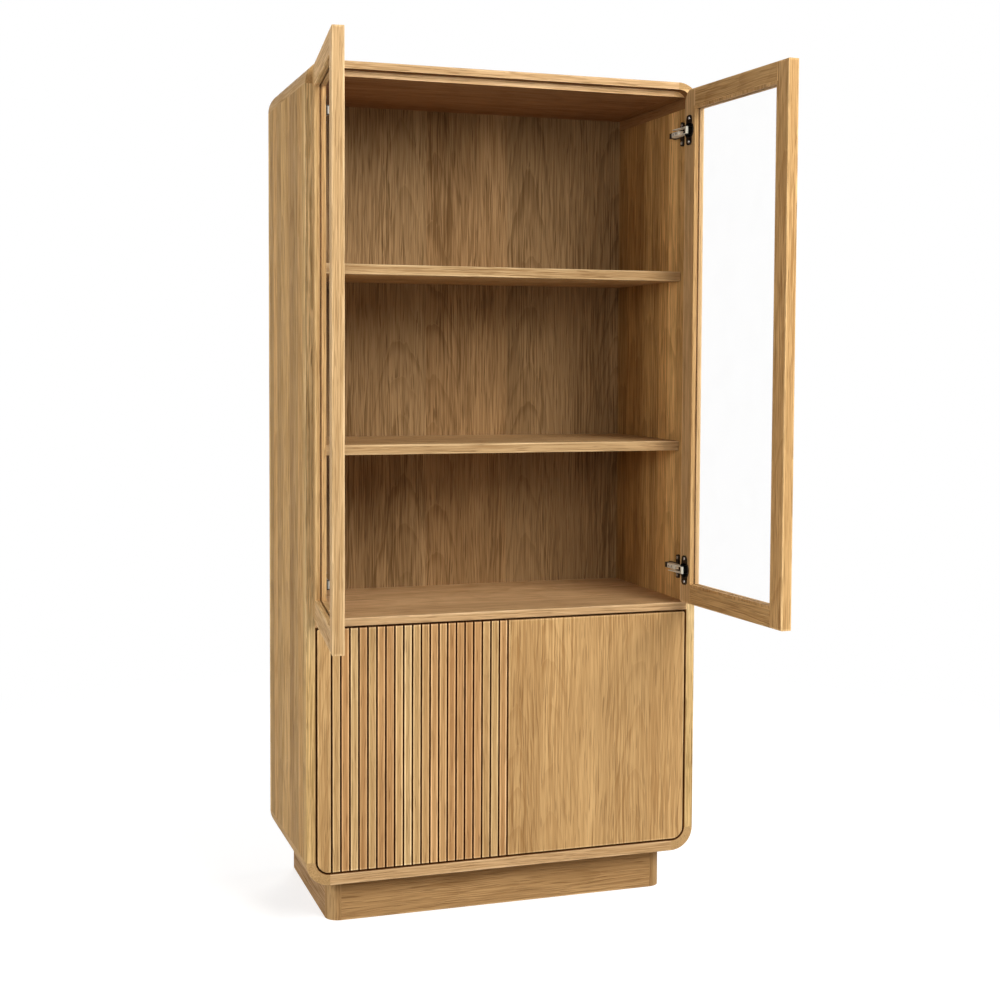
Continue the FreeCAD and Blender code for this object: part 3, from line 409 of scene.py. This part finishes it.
# node: kind of oak, axes across, through and along the grain, shift of the staves, bends about its depth
boards = {
    "side_panel_left": ("side", "yxz", 0.8, 0),
    "side_panel_right": ("side", "yxz", 0.03, 0),
    "top_panel": ("frame", "yzx", 0.2, 0),
    "bottom_panel": ("frame", "yzx", 0.5, 0),
    "corner_top_left": ("corner", "xzy", 0.1, 1),
    "corner_top_right": ("corner", "xzy", 0.9, 1),
    "corner_bottom_left": ("corner", "xzy", 0.4, 1),
    "corner_bottom_right": ("corner", "xzy", 0.7, 1),
    "divider_panel": ("frame", "yzx", 0.8, 0),
    "back_panel": ("back", "xyz", 0.35, 0),
    "shelf_upper": ("inside", "yzx", 0.15, 0),
    "shelf_middle": ("inside", "yzx", 0.45, 0),
    "shelf_lower": ("inside", "yzx", 0.85, 0),
    "plinth_front": ("plinth", "zyx", 0.2, 0),
    "plinth_back": ("plinth", "zyx", 0.6, 0),
    "plinth_side_left": ("plinth", "zxy", 0.3, 0),
    "plinth_side_right": ("plinth", "zxy", 0.8, 0),
    "plinth_corner_left": ("plinth", "xyz", 0.4, 0),
    "plinth_corner_right": ("plinth", "xyz", 0.9, 0),
    "plinth_stretcher": ("softwood", "zxy", 0.1, 0),
    "plinth_cleats": ("softwood", "zyx", 0.5, 0),
    "plain_door_panel": ("door", "xyz", 0.4, 1),
    "slatted_door_backing": ("back", "xyz", 0.2, 1),
    "slatted_door_stile": ("door", "xyz", 0.3, 1),
}
# the same for each glass door, without the kind of oak
glassDoorBoards = {
    "hinge_stile": ("xyz", 0.25, 1),
    "free_stile": ("xyz", 0.75, 1),
    "top_rail": ("zyx", 0.4, 0),
    "bottom_rail": ("zyx", 0.6, 0),
    "glass_beads": ("xyz", 0.5, 0),
}
# these two stiles take the paler copy of the door oak: painted light
paintedLightStiles = ("left_glass_door_free_stile", "right_glass_door_hinge_stile")
for door in doorTurns:
    for label, placing in glassDoorBoards.items():
        name = f"{door}_{label}"
        boards[name] = ("stile" if name in paintedLightStiles else "door", *placing)
gapBoards = ("plain_door_panel", "slatted_door_stile")
ceilingBoards = ("top_panel", "corner_top_left", "corner_top_right")
openingBoards = ("side_panel_left", "side_panel_right", "corner_bottom_left", "corner_bottom_right",
                 "bottom_panel", "divider_panel")
freeEnds = ("stile", "door_panel")  # boards whose ends butt onto nothing
noStrip = ("corner_", "plinth_cleats", "glass_beads", "back_panel", "backing")  # boards with no pale strip
farAway = 1  # metres added to half a board's box, so that no edge of it is near there


def boardCoordinates(tree, turn):
    coordinates = addNode(tree, "ShaderNodeTexCoord").outputs
    if not turn:
        return coordinates["Object"], coordinates["Normal"]
    back = (0, 0, math.radians(-turn))
    straight = addNode(tree, "ShaderNodeMapping", {"Vector": coordinates["Object"], "Rotation": back})
    facing = addNode(tree, "ShaderNodeMapping", {"Vector": coordinates["Normal"], "Rotation": back},
                     vector_type="VECTOR")
    return straight.outputs[0], facing.outputs[0]


def boardBox(name, turn):
    straight = Matrix.Rotation(math.radians(-turn), 3, "Z")
    points = [straight @ vertex.co for vertex in nodes[name].data.vertices]
    low = Vector(min(point[i] for point in points) for i in range(3))
    high = Vector(max(point[i] for point in points) for i in range(3))
    return (low + high) / 2, (high - low) / 2


def oakShading(tree, shader, figure, edges, colour, gap, gapTint):
    # the edges' pale tint, partly wear and partly a painted highlight, then painted shade where a gap mask is
    # given
    colour = tinted(tree, edges["Worn"], colour, wearHighlightAndShade["paler"])
    if gap:
        colour = tinted(tree, gap, colour, gapTint)
    tree.links.new(colour, shader.inputs["Base Color"])
    tree.links.new(figure["Roughness"], shader.inputs["Roughness"])
    bump = addNode(tree, "ShaderNodeBump", {"Height": figure["Height"], "Strength": wearHighlightAndShade["bump"],
                                            "Distance": wearHighlightAndShade["relief"]})
    tree.links.new(bump.outputs[0], shader.inputs["Normal"])
    shader.inputs["Specular IOR Level"].default_value = wearHighlightAndShade["specular"]


def oakValues(kind, vector, seed):
    return {"Vector": vector, "Light": (*kind["light"], 1), "Dark": (*kind["dark"], 1),
            "Stave": kind["stave"], "Stave Tone": kind["staveTone"], "Rings": kind["rings"],
            "Ring Gap": kind["ringGap"], "Taper": kind["taper"], "Streaks": kind["streaks"],
            "Pores": kind["pores"], "Seed": seed}


# painted shade on the faces inside the top of the case, darkest right under the lip, and painted light on the
# rim's front faces
ceiling = {
    "lip": 1.824,  # height of the underside of the lip
    "half": 0.43,  # half the width between the corner pieces
    "skin": 0.0005,  # how sharply one tint gives way to the next
    "turn": (0.4, 0.6),  # how far a face is turned to the front, from the inner tints to the rim's
    "tint": (0.52, 0.42, 0.36, 1),
    "lipShadeTint": (0.3, 0.21, 0.13, 1),
    "rimLightTint": (1.6, 1.68, 1.8, 1),
}


def ceilingPaintedLightAndShade(tree, square, normal, colour):
    # painted shade: the faces inside the case are darker than the rim in front of them, and most of all right
    # under the lip; painted light makes the rim's front faces paler
    lip, skin = ceiling["lip"], ceiling["skin"]
    level = split(tree, vectorCalc(tree, "ABSOLUTE", normal))[1]
    at = split(tree, square)
    between = fade(tree, calc(tree, "ABSOLUTE", at[0]), ceiling["half"], ceiling["half"] - skin)
    below = fade(tree, at[2], lip + 2 * skin, lip + skin)
    tint = mixColour(tree, fade(tree, at[2], lip - 3 * skin, lip - skin), ceiling["tint"], ceiling["lipShadeTint"])
    tint = mixColour(tree, fade(tree, level, *ceiling["turn"]), tint, ceiling["rimLightTint"])
    return tinted(tree, calc(tree, "MULTIPLY", between, below), colour, tint)


# painted light and shade on the sides' inner faces and front edges
wall = {
    "face": 0.4295,  # the inner faces of the sides lie just inside this
    "skin": 0.0005,
    "depths": (0.11, -0.11),  # from the painted shade at the rear to the painted light at the front
    "rearShadeTint": (0.64, 0.58, 0.5, 1),
    "frontLightTint": (1.45, 1.46, 1.47, 1),
    "strip": 0.03,  # width of the painted highlight strip along the front
    "end": -0.212,  # the front edges lie before this
    "upper": (0.5, 0.75),  # the height where their painted light starts, and where it is full
    "endLightTint": (1.08, 1.2, 1.45, 1),
}


def wallPaintedLightAndShade(tree, square, colour):
    # painted light and shade: the inner faces of the sides are darker at the rear and paler towards the
    # front, and their front edges in the upper half are paler too
    at = split(tree, square)
    inside = fade(tree, calc(tree, "ABSOLUTE", at[0]), wall["face"] + wall["skin"], wall["face"])
    tint = mixColour(tree, fade(tree, at[1], *wall["depths"]), wall["rearShadeTint"], wall["frontLightTint"])
    colour = tinted(tree, inside, colour, tint)
    end = fade(tree, at[1], wall["end"] + 2 * wall["skin"], wall["end"] - 2 * wall["skin"])
    upperEnd = calc(tree, "MULTIPLY", end, fade(tree, at[2], *wall["upper"]))
    return tinted(tree, upperEnd, colour, wall["endLightTint"])


def oakMaterial(node, kindName, axes, shift, bends, turn):
    material, tree, shader = newMaterial("oak " + node.replace("_", " "))
    square, normal = boardCoordinates(tree, turn)
    parts = split(tree, square)
    along = joined(tree, {i: parts["xyz".index(axis)] for i, axis in enumerate(axes)})
    figure = useGroup(tree, oakTree, oakValues(oakKinds[kindName], along, shift))
    centre, half = boardBox(node, turn)
    if any(word in node for word in noStrip):
        half = half + Vector((farAway, farAway, farAway))
    elif not any(word in node for word in freeEnds):
        half["xyz".index(axes[2])] += farAway
    onSide = node.startswith("side_panel")
    # the sides get a wide pale strip along their front faces: painted highlight
    edges = useGroup(tree, edgeWearHighlightAndShadeTree, {"Vector": square, "Normal": normal, "Centre": centre, "Half": half,
                                      "Width": wall["strip"] if onSide else wearHighlightAndShade["width"],
                                      "Round": float(bends)})
    colour, gap = figure["Color"], None
    # painted light and shade on the sides
    if onSide:
        colour = wallPaintedLightAndShade(tree, square, colour)
    # painted shade in the gaps of the lower doors and in their opening
    if node in gapBoards:
        gap = edges["Gap"]
    elif node in openingBoards:
        gap = useGroup(tree, gapTree, dict(opening, Vector=square))["Gap"]
    # painted shade and light inside the top of the case
    elif node in ceilingBoards:
        colour = ceilingPaintedLightAndShade(tree, square, normal, colour)
    oakShading(tree, shader, figure, edges, colour, gap, wearHighlightAndShade["gap"])
    return material


for name, (kindName, axes, shift, bends) in boards.items():
    turn = next((angle for door, angle in doorTurns.items() if name.startswith(door)), 0.0)
    finish(nodes[name], oakMaterial(name, kindName, axes, shift, bends, turn))
print("oak on", len(boards), "boards")


slats = {
    "count": 20,
    "first": -0.393,  # left edge of the first slat
    "pitch": 0.019725,
    "width": 0.016725,
    "front": -0.215,
    "thick": 0.012,
    "low": 0.122,
    "high": 0.647,
    "arris": 0.001,
    "arrisSteps": 3,
    "seed": 4,
    "doorLeft": -0.426,  # these three are faces of the door itself
    "doorRight": -0.0015,
    "doorRear": -0.191,
    "jump": (3.0, 7.0),  # how far the grain moves on from slat to slat, across and along
    "polish": 0.0044,  # how far in from its edges a slat gets a painted highlight
    "highlightLuck": (7.3, 0.6, 0.5),  # some slats get a stronger painted highlight than others
    # tint of that painted highlight
    "paler": (1.62, 1.78, 1.98, 1),
    "shade": 0.0007,  # how far the painted shade of the grooves comes round its arrises
    "edgeShade": 0.15,  # what is left of that painted shade on the free edge of the door
    "edgeFade": (0.0002, 0.001),  # how far in from that edge it comes back
    "tones": ((0.0, (0.88, 0.76, 0.72)), (0.25, (0.97, 0.9, 0.9)), (0.5, (1.0, 1.0, 1.02)),
              (0.75, (1.04, 1.09, 1.14)), (1.0, (1.12, 1.22, 1.36))),
}


def slatRow():
    tree, given, result = newGroup("slat row", {
        "Count": ("Int",), "First": ("Vector",), "Pitch": ("Float",), "Size": ("Vector",),
        "Arris": ("Float",), "Seed": ("Int",), "Material": ("Material",),
    }, {"Geometry": "Geometry"}, "GeometryNodeTree")
    step = joined(tree, {0: given["Pitch"]})
    line = addNode(tree, "GeometryNodeMeshLine", {
        "Count": given["Count"], "Start Location": given["First"], "Offset": step}, mode="OFFSET")
    bar = addNode(tree, "GeometryNodeMeshCube", {"Size": given["Size"]})
    place = split(tree, addNode(tree, "GeometryNodeInputPosition").outputs[0])
    # only the front edges get an arris: they lie further forward of the slat's middle than its width
    ahead = calc(tree, "MULTIPLY", given["Arris"], -1.0)
    atFront = addNode(tree, "FunctionNodeCompare", {0: place[1], 1: ahead}, data_type="FLOAT",
                      operation="LESS_THAN")
    weighed = addNode(tree, "GeometryNodeStoreNamedAttribute", {
        "Geometry": bar.outputs["Mesh"], "Name": "bevel_weight_edge", "Selection": atFront.outputs[0],
        "Value": 1.0}, data_type="FLOAT", domain="EDGE")
    measured = addNode(tree, "GeometryNodeStoreNamedAttribute", {
        "Geometry": weighed.outputs[0], "Name": "slatAcross", "Value": place[0]},
        data_type="FLOAT", domain="POINT")
    row = addNode(tree, "GeometryNodeInstanceOnPoints", {
        "Points": line.outputs[0], "Instance": measured.outputs[0]})
    luck = addNode(tree, "FunctionNodeRandomValue", {"Seed": given["Seed"]}, data_type="FLOAT")
    toned = addNode(tree, "GeometryNodeStoreNamedAttribute", {
        "Geometry": row.outputs[0], "Name": "slatLuck", "Value": luck.outputs[1]},
        data_type="FLOAT", domain="INSTANCE")
    real = addNode(tree, "GeometryNodeRealizeInstances", {"Geometry": toned.outputs[0]})
    done = addNode(tree, "GeometryNodeSetMaterial", {
        "Geometry": real.outputs[0], "Material": given["Material"]})
    tree.links.new(done.outputs[0], result["Geometry"])
    return tree


def grown(name, tree, values, base=None):
    source = bpy.data.objects.new(name + "_source", base or bpy.data.meshes.new(name + "_source"))
    scene.collection.objects.link(source)
    modifier = source.modifiers.new("grown", "NODES")
    modifier.node_group = tree
    for item in tree.interface.items_tree:
        if item.in_out == "INPUT" and item.name in values:
            modifier[item.identifier] = values[item.name]
    mesh = bpy.data.meshes.new_from_object(source.evaluated_get(bpy.context.evaluated_depsgraph_get()))
    bpy.data.objects.remove(source)
    mesh.name = name
    made = bpy.data.objects.new(name, mesh)
    scene.collection.objects.link(made)
    return made


def slatMaterial():
    material, tree, shader = newMaterial("oak slats")
    square, normal = boardCoordinates(tree, 0.0)
    luck = addNode(tree, "ShaderNodeAttribute", attribute_name="slatLuck").outputs["Fac"]
    across = addNode(tree, "ShaderNodeAttribute", attribute_name="slatAcross").outputs["Fac"]
    jump = joined(tree, {0: calc(tree, "MULTIPLY", luck, slats["jump"][0]),
                         2: calc(tree, "MULTIPLY", luck, slats["jump"][1])})
    figure = useGroup(tree, oakTree, oakValues(oakKinds["slat"], vectorCalc(tree, "ADD", square, jump), 0.0))
    ramp = addNode(tree, "ShaderNodeValToRGB", {"Fac": luck})
    stops = ramp.color_ramp.elements
    while len(stops) < len(slats["tones"]):
        stops.new(1.0)
    for stop, (position, tint) in zip(stops, slats["tones"]):
        stop.position, stop.color = position, (*tint, 1)
    colour = mixColour(tree, 1.0, figure["Color"], ramp.outputs["Color"], "MULTIPLY")
    half = slats["width"] / 2
    beside = calc(tree, "ABSOLUTE", across)
    # a painted highlight along both edges of each slat, stronger on some slats
    bright = fade(tree, beside, half - slats["polish"], half - slats["polish"] / 2)
    step, most, least = slats["highlightLuck"]
    highlightShare = calc(tree, "MULTIPLY_ADD", calc(tree, "FRACT", calc(tree, "MULTIPLY", luck, step)), most, least)
    colour = tinted(tree, calc(tree, "MULTIPLY", bright, highlightShare), colour, slats["paler"])
    low = Vector((slats["doorLeft"], slats["front"], slats["low"]))
    high = Vector((slats["doorRight"], slats["doorRear"], slats["high"]))
    edges = useGroup(tree, edgeWearHighlightAndShadeTree, {"Vector": square, "Normal": normal, "Centre": (low + high) / 2,
                                      "Half": (high - low) / 2, "Width": wearHighlightAndShade["width"]})
    # painted shade of the grooves, reaching round the slats' arrises
    rim = fade(tree, beside, half - slats["shade"], half - slats["shade"] / 2)
    # the free edge of the door itself gets less of that painted shade than the grooves
    start, full = (high.x - inset for inset in slats["edgeFade"])
    within = fade(tree, split(tree, square)[0], start, full, slats["edgeShade"], 1.0)
    groove = calc(tree, "MULTIPLY", calc(tree, "MAXIMUM", edges["Gap"], rim), within)
    oakShading(tree, shader, figure, edges, colour, groove, wearHighlightAndShade["groove"])
    return material


size = Vector((slats["width"], slats["thick"], slats["high"] - slats["low"]))
first = Vector((slats["first"], slats["front"], slats["low"])) + size / 2
slatPiece = grown("slatted_door_slat_row", slatRow(), {
    "Count": slats["count"], "First": first, "Pitch": slats["pitch"], "Size": size, "Arris": slats["arris"],
    "Seed": slats["seed"], "Material": slatMaterial()})
bevel = slatPiece.modifiers.new("arris", "BEVEL")
bevel.width = slats["arris"]
bevel.segments = slats["arrisSteps"]
bevel.limit_method = "WEIGHT"
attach(slatPiece, "slatted_door")
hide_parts("slatted_door_slats")
print("slats made:", slats["count"])


metals = {
    "nickel": {"colour": (0.9, 0.86, 0.71), "worn": (0.97, 0.94, 0.84), "rough": 0.5, "brush": (40, 40, 900),
               "metallic": 0.1},
    # a darker copy of the nickel for the left door's links: painted shade against the key lamp's glare
    "satin nickel": {"colour": (0.42, 0.4, 0.34), "worn": (0.55, 0.52, 0.45), "rough": 0.55,
                     "brush": (40, 40, 900), "metallic": 0.3},
    "dark nickel": {"colour": (0.022, 0.019, 0.017), "worn": (0.09, 0.085, 0.08), "rough": 0.3,
                    "brush": (500, 500, 60), "metallic": 0.8},
    "screw steel": {"colour": (0.5, 0.48, 0.45), "worn": (0.7, 0.69, 0.66), "rough": 0.32,
                    "brush": (700, 700, 700), "metallic": 1.0},
}
polish = {
    "lines": (1.0, 3, 0.6),  # scale, detail and roughness of a noise
    "spots": (170.0, 4, 0.65),
    "spotEdges": (0.42, 0.72, 0.0, 0.8),
    "roughBy": 0.24,
    "bump": 0.2,
    "relief": 0.0001,
}


def metalSkin():
    tree, given, result = newGroup("metal skin", {
        "Vector": ("Vector",), "Colour": ("Color", (0.5, 0.5, 0.5, 1)), "Worn": ("Color", (0.7, 0.7, 0.7, 1)),
        "Roughness": ("Float", 0.3), "Brush": ("Vector", (500, 500, 500)),
    }, {"Color": "Color", "Roughness": "Float", "Height": "Float"})
    lines = noise(tree, vectorCalc(tree, "MULTIPLY", given["Vector"], given["Brush"]), *polish["lines"])
    spots = fade(tree, noise(tree, given["Vector"], *polish["spots"]), *polish["spotEdges"])
    tree.links.new(mixColour(tree, spots, given["Colour"], given["Worn"]), result["Color"])
    tree.links.new(calc(tree, "MULTIPLY_ADD", calc(tree, "SUBTRACT", lines, 0.5), polish["roughBy"],
                        given["Roughness"]), result["Roughness"])
    tree.links.new(lines, result["Height"])
    return tree


metalTree = metalSkin()


def metalMaterial(name):
    look = metals[name]
    material, tree, shader = newMaterial(name)
    skin = useGroup(tree, metalTree, {
        "Vector": addNode(tree, "ShaderNodeTexCoord").outputs["Object"], "Colour": (*look["colour"], 1),
        "Worn": (*look["worn"], 1), "Roughness": look["rough"], "Brush": look["brush"]})
    tree.links.new(skin["Color"], shader.inputs["Base Color"])
    tree.links.new(skin["Roughness"], shader.inputs["Roughness"])
    bump = addNode(tree, "ShaderNodeBump", {"Height": skin["Height"], "Strength": polish["bump"],
                                            "Distance": polish["relief"]})
    tree.links.new(bump.outputs[0], shader.inputs["Normal"])
    shader.inputs["Metallic"].default_value = look["metallic"]
    return material


metalOf = {name: metalMaterial(name) for name in metals}
for name, obj in nodes.items():
    if name == "hinge_arms":
        finish(obj, metalOf["nickel"])
    elif name.endswith("hinge_links"):
        # the left door's links take the darker copy: painted shade
        finish(obj, metalOf["satin nickel" if name.startswith("left") else "nickel"])
    elif name == "hinge_plates" or name.endswith("hinge_cups"):
        finish(obj, metalOf["dark nickel"])
    elif name.endswith("screws") or name == "shelf_pins":
        finish(obj, metalOf["screw steel"])
print("metal on the hinges")


screws = {
    "headHigh": 0.0015,
    "crossLong": 0.0042,
    "crossWide": 0.00085,
    "crossDeep": 0.0009,
    "crossFor": 0.0035,  # radius of the head that the cross is given for
    "shankLong": 0.009,
    "shoulder": 0.94,  # these four are radii as parts of the head's
    "crown": 0.62,
    "neck": 0.5,
    "tip": 0.3,
    "sides": 24,
    "seed": 7,
    "fullTurn": 6.28,  # each cross is turned by up to this, in radians
    "merge": 1e-6,
    "headSlice": 0.001,  # how much of a solid's top is measured as its head
}


def screwSet():
    tree, given, result = newGroup("screw set", {
        "Geometry": ("Geometry",), "Head High": ("Float",), "Cross Long": ("Float",),
        "Cross Wide": ("Float",), "Cross Deep": ("Float",), "Shank Long": ("Float",), "Sides": ("Int",),
        "Seed": ("Int",), "Material": ("Material",),
    }, {"Geometry": "Geometry"}, "GeometryNodeTree")
    half = calc(tree, "MULTIPLY", given["Head High"], 0.5)

    def cone(low, high, tall, start):
        made = addNode(tree, "GeometryNodeMeshCone", {
            "Vertices": given["Sides"], "Radius Bottom": low, "Radius Top": high, "Depth": tall})
        return addNode(tree, "GeometryNodeTransform", {
            "Geometry": made.outputs["Mesh"], "Translation": joined(tree, {2: start})})

    # a head of radius 1 with its top at 0, a shank below it and a cross cut into it
    skirt = cone(1.0, screws["shoulder"], half, calc(tree, "MULTIPLY", given["Head High"], -1.0))
    dome = cone(screws["shoulder"], screws["crown"], half, calc(tree, "MULTIPLY", half, -1.0))
    whole = calc(tree, "ADD", given["Head High"], given["Shank Long"])
    shank = cone(screws["tip"], screws["neck"], given["Shank Long"], calc(tree, "MULTIPLY", whole, -1.0))
    solid = addNode(tree, "GeometryNodeMeshBoolean", operation="UNION")
    for part in (skirt, dome, shank):
        tree.links.new(part.outputs[0], solid.inputs[1])
    cut = addNode(tree, "GeometryNodeMeshBoolean", {0: solid.outputs[0]}, operation="DIFFERENCE")
    tall = calc(tree, "MULTIPLY", given["Cross Deep"], 2.0)
    for first, second in (("Cross Long", "Cross Wide"), ("Cross Wide", "Cross Long")):
        bar = addNode(tree, "GeometryNodeMeshCube", {
            "Size": joined(tree, {0: given[first], 1: given[second], 2: tall})})
        tree.links.new(bar.outputs["Mesh"], cut.inputs[1])
    radius = addNode(tree, "GeometryNodeInputNamedAttribute", {"Name": "headRadius"},
                     data_type="FLOAT").outputs[0]
    facing = addNode(tree, "GeometryNodeInputNamedAttribute", {"Name": "facing"},
                     data_type="FLOAT_VECTOR").outputs[0]
    upright = addNode(tree, "FunctionNodeAlignRotationToVector", {"Vector": facing}, axis="Z")
    spin = addNode(tree, "FunctionNodeRandomValue", {
        "Min": 0.0, "Max": screws["fullTurn"], "Seed": given["Seed"]}, data_type="FLOAT")
    twist = addNode(tree, "FunctionNodeAxisAngleToRotation", {"Axis": (0, 0, 1), "Angle": spin.outputs[1]})
    turned = addNode(tree, "FunctionNodeRotateRotation", {0: upright.outputs[0], 1: twist.outputs[0]},
                     rotation_space="LOCAL")
    placed = addNode(tree, "GeometryNodeInstanceOnPoints", {
        "Points": given["Geometry"], "Instance": cut.outputs[0], "Rotation": turned.outputs[0],
        "Scale": joined(tree, {0: radius, 1: radius, 2: 1.0})})
    real = addNode(tree, "GeometryNodeRealizeInstances", {"Geometry": placed.outputs[0]})
    done = addNode(tree, "GeometryNodeSetMaterial", {
        "Geometry": real.outputs[0], "Material": given["Material"]})
    tree.links.new(done.outputs[0], result["Geometry"])
    return tree


def solidsOf(name):
    shape = bmesh.new()
    shape.from_mesh(nodes[name].data)
    bmesh.ops.remove_doubles(shape, verts=shape.verts, dist=screws["merge"])
    left, found = set(shape.verts), []
    while left:
        start = left.pop()
        solid, unseen = [start], [start]
        while unseen:
            for link in unseen.pop().link_edges:
                for vertex in link.verts:
                    if vertex in left:
                        left.remove(vertex)
                        solid.append(vertex)
                        unseen.append(vertex)
        found.append([vertex.co.copy() for vertex in solid])
    shape.free()
    # a set hands out its vertices in another order each run, so the solids are sorted by their lowest corner
    return sorted(found, key=lambda points: min(tuple(round(v, 5) for v in point) for point in points))


def headOf(points, facing):
    up = Vector((0, 0, 1)) if abs(facing.z) < 0.5 else Vector((0, 1, 0))
    side = up.cross(facing)
    top = max(point.dot(facing) for point in points)
    spans = []
    for axis in (side, up):
        reach = [point.dot(axis) for point in points if point.dot(facing) > top - screws["headSlice"]]
        spans.append((min(reach), max(reach)))
    centre = facing * top + side * sum(spans[0]) / 2 + up * sum(spans[1]) / 2
    return centre, (spans[1][1] - spans[1][0]) / 2


def towardsMiddle(points):
    return Vector((-1 if points[0].x > 0 else 1, 0, 0))


def doorInside(turn):
    return Matrix.Rotation(math.radians(turn), 3, "Z") @ Vector((0, 1, 0))


# name: body, and the nodes it replaces with the way their heads face; None is towards the middle of the case
screwSets = {
    "carcass_screws": ("carcass", {
        "back_panel_screws": Vector((0, 1, 0)), "plinth_screws": Vector((0, 0, -1)), "hinge_screws": None}),
}
for door in ("left_glass_door", "right_glass_door", "slatted_door", "plain_door"):
    screwSets[door + "_screws"] = (door, {door + "_cup_screws": doorInside(doorTurns.get(door, 0))})
screwTree = screwSet()
for name, (body, groups) in screwSets.items():
    heads, faces, sizes = [], [], []
    for group, direction in groups.items():
        for points in solidsOf(group):
            facing = direction or towardsMiddle(points)
            centre, radius = headOf(points, facing)
            heads.append(centre)
            faces.append(facing)
            sizes.append(radius)
    spots = bpy.data.meshes.new(name + "_spots")
    spots.from_pydata(heads, [], [])
    spots.attributes.new("facing", "FLOAT_VECTOR", "POINT").data.foreach_set(
        "vector", [value for facing in faces for value in facing])
    spots.attributes.new("headRadius", "FLOAT", "POINT").data.foreach_set("value", sizes)
    piece = grown(name, screwTree, {
        "Head High": screws["headHigh"], "Cross Long": screws["crossLong"] / screws["crossFor"],
        "Cross Wide": screws["crossWide"] / screws["crossFor"], "Cross Deep": screws["crossDeep"],
        "Shank Long": screws["shankLong"], "Sides": screws["sides"], "Seed": screws["seed"],
        "Material": metalOf["screw steel"]}, spots)
    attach(piece, body)
    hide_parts(*groups)
    print(name, len(heads), "screws,", len(piece.data.polygons), "faces")


glass = {
    "tint": (0.93, 0.96, 0.95, 1),
    "speckTint": (0.8, 0.8, 0.78, 1),
    "smudges": (14.0, 4, 0.6),  # scale, detail and roughness of a noise
    "alpha": (0.35, 0.75, 0.012, 0.022),  # from and to how much smudge, and the alpha at each
    "roughness": (0.4, 0.8, 0.03, 0.09),
    "specks": (420.0, 1),
    "speckEdges": (0.68, 0.76),
    "speckAlpha": 0.015,
}


def glassMaterial():
    material, tree, shader = newMaterial("clear glass")
    place = addNode(tree, "ShaderNodeTexCoord").outputs["Object"]
    smudges = noise(tree, place, *glass["smudges"])
    specks = fade(tree, noise(tree, place, *glass["specks"]), *glass["speckEdges"])
    alpha = calc(tree, "MULTIPLY_ADD", specks, glass["speckAlpha"], fade(tree, smudges, *glass["alpha"]))
    tree.links.new(alpha, shader.inputs["Alpha"])
    tree.links.new(fade(tree, smudges, *glass["roughness"]), shader.inputs["Roughness"])
    tree.links.new(mixColour(tree, specks, glass["tint"], glass["speckTint"]), shader.inputs["Base Color"])
    return material


clearGlass = glassMaterial()
for name in doorTurns:
    finish(nodes[name + "_glass"], clearGlass)
print("glass in both doors")


studio = {
    "floorReach": 14.0,
    "floorSides": 64,
    "floorColour": (0.5, 0.5, 0.5, 1),
    "floorLift": 0.7,  # added white that only the camera and reflections see
    "openFloor": (0.9, 2.6),  # metres from the middle where the floor goes over to plain white
    "ambient": 0.07,
}
lamps = {
    "key": {"place": (1.5, -3.5, 3.1), "aim": (0, 0, 0.9), "size": 2.7, "watts": 170},
    "fill": {"place": (-2.7, -3.5, 1.9), "aim": (0.2, 0, 1.0), "size": 1.6, "watts": 54},
    "left": {"place": (-4.2, 0.9, 1.7), "aim": (-0.4, 0, 0.9), "size": 2.2, "watts": 64},
    "back": {"place": (0.9, 3.8, 2.3), "aim": (0, 0.2, 0.9), "size": 2.2, "watts": 80},
    "right": {"place": (3.8, 0.4, 1.9), "aim": (0.4, 0, 0.9), "size": 2.0, "watts": 45},
}


def seenDirectly(tree):
    path = addNode(tree, "ShaderNodeLightPath").outputs
    rays = calc(tree, "MAXIMUM", path["Is Camera Ray"], path["Is Glossy Ray"])
    return calc(tree, "MAXIMUM", rays, path["Is Transmission Ray"])


def addFloor():
    mesh = bpy.data.meshes.new("floor")
    shape = bmesh.new()
    bmesh.ops.create_circle(shape, cap_ends=True, segments=studio["floorSides"],
                            radius=studio["floorReach"])
    shape.to_mesh(mesh)
    shape.free()
    floor = bpy.data.objects.new("floor", mesh)
    scene.collection.objects.link(floor)
    material, tree, shader = newMaterial("pale floor")
    tree.nodes.remove(shader)
    place = addNode(tree, "ShaderNodeTexCoord").outputs["Object"]
    plain = addNode(tree, "ShaderNodeBsdfDiffuse", {"Color": studio["floorColour"]})
    seen = seenDirectly(tree)
    lift = addNode(tree, "ShaderNodeEmission", {
        "Strength": calc(tree, "MULTIPLY", seen, studio["floorLift"])})
    lit = addNode(tree, "ShaderNodeAddShader", {0: plain.outputs[0], 1: lift.outputs[0]})
    white = addNode(tree, "ShaderNodeEmission", {"Strength": 1.0})
    distance = addNode(tree, "ShaderNodeVectorMath", {0: place}, operation="LENGTH").outputs["Value"]
    far = calc(tree, "MULTIPLY", seen, fade(tree, distance, *studio["openFloor"]))
    mixed = addNode(tree, "ShaderNodeMixShader", {0: far, 1: lit.outputs[0], 2: white.outputs[0]})
    tree.links.new(mixed.outputs[0], tree.nodes["Material Output"].inputs["Surface"])
    finish(floor, material)


def addWorld():
    world = bpy.data.worlds.new("studio")
    world.use_nodes = True
    scene.world = world
    tree = world.node_tree
    background = tree.nodes["Background"]
    strength = fade(tree, seenDirectly(tree), 0.0, 1.0, studio["ambient"], 1.0)
    tree.links.new(strength, background.inputs["Strength"])
    background.inputs["Color"].default_value = (1, 1, 1, 1)


def addLamp(name, look):
    data = bpy.data.lights.new(name, "AREA")
    data.shape = "DISK"
    data.size = look["size"]
    data.energy = look["watts"]
    lamp = bpy.data.objects.new(name, data)
    lamp.location = look["place"]
    lamp.rotation_euler = (Vector(look["aim"]) - Vector(look["place"])).to_track_quat("-Z", "Y").to_euler()
    scene.collection.objects.link(lamp)


addFloor()
addWorld()
for name, look in lamps.items():
    addLamp(name, look)
scene.view_settings.view_transform = "Standard"
print("floor, world and lamps set")
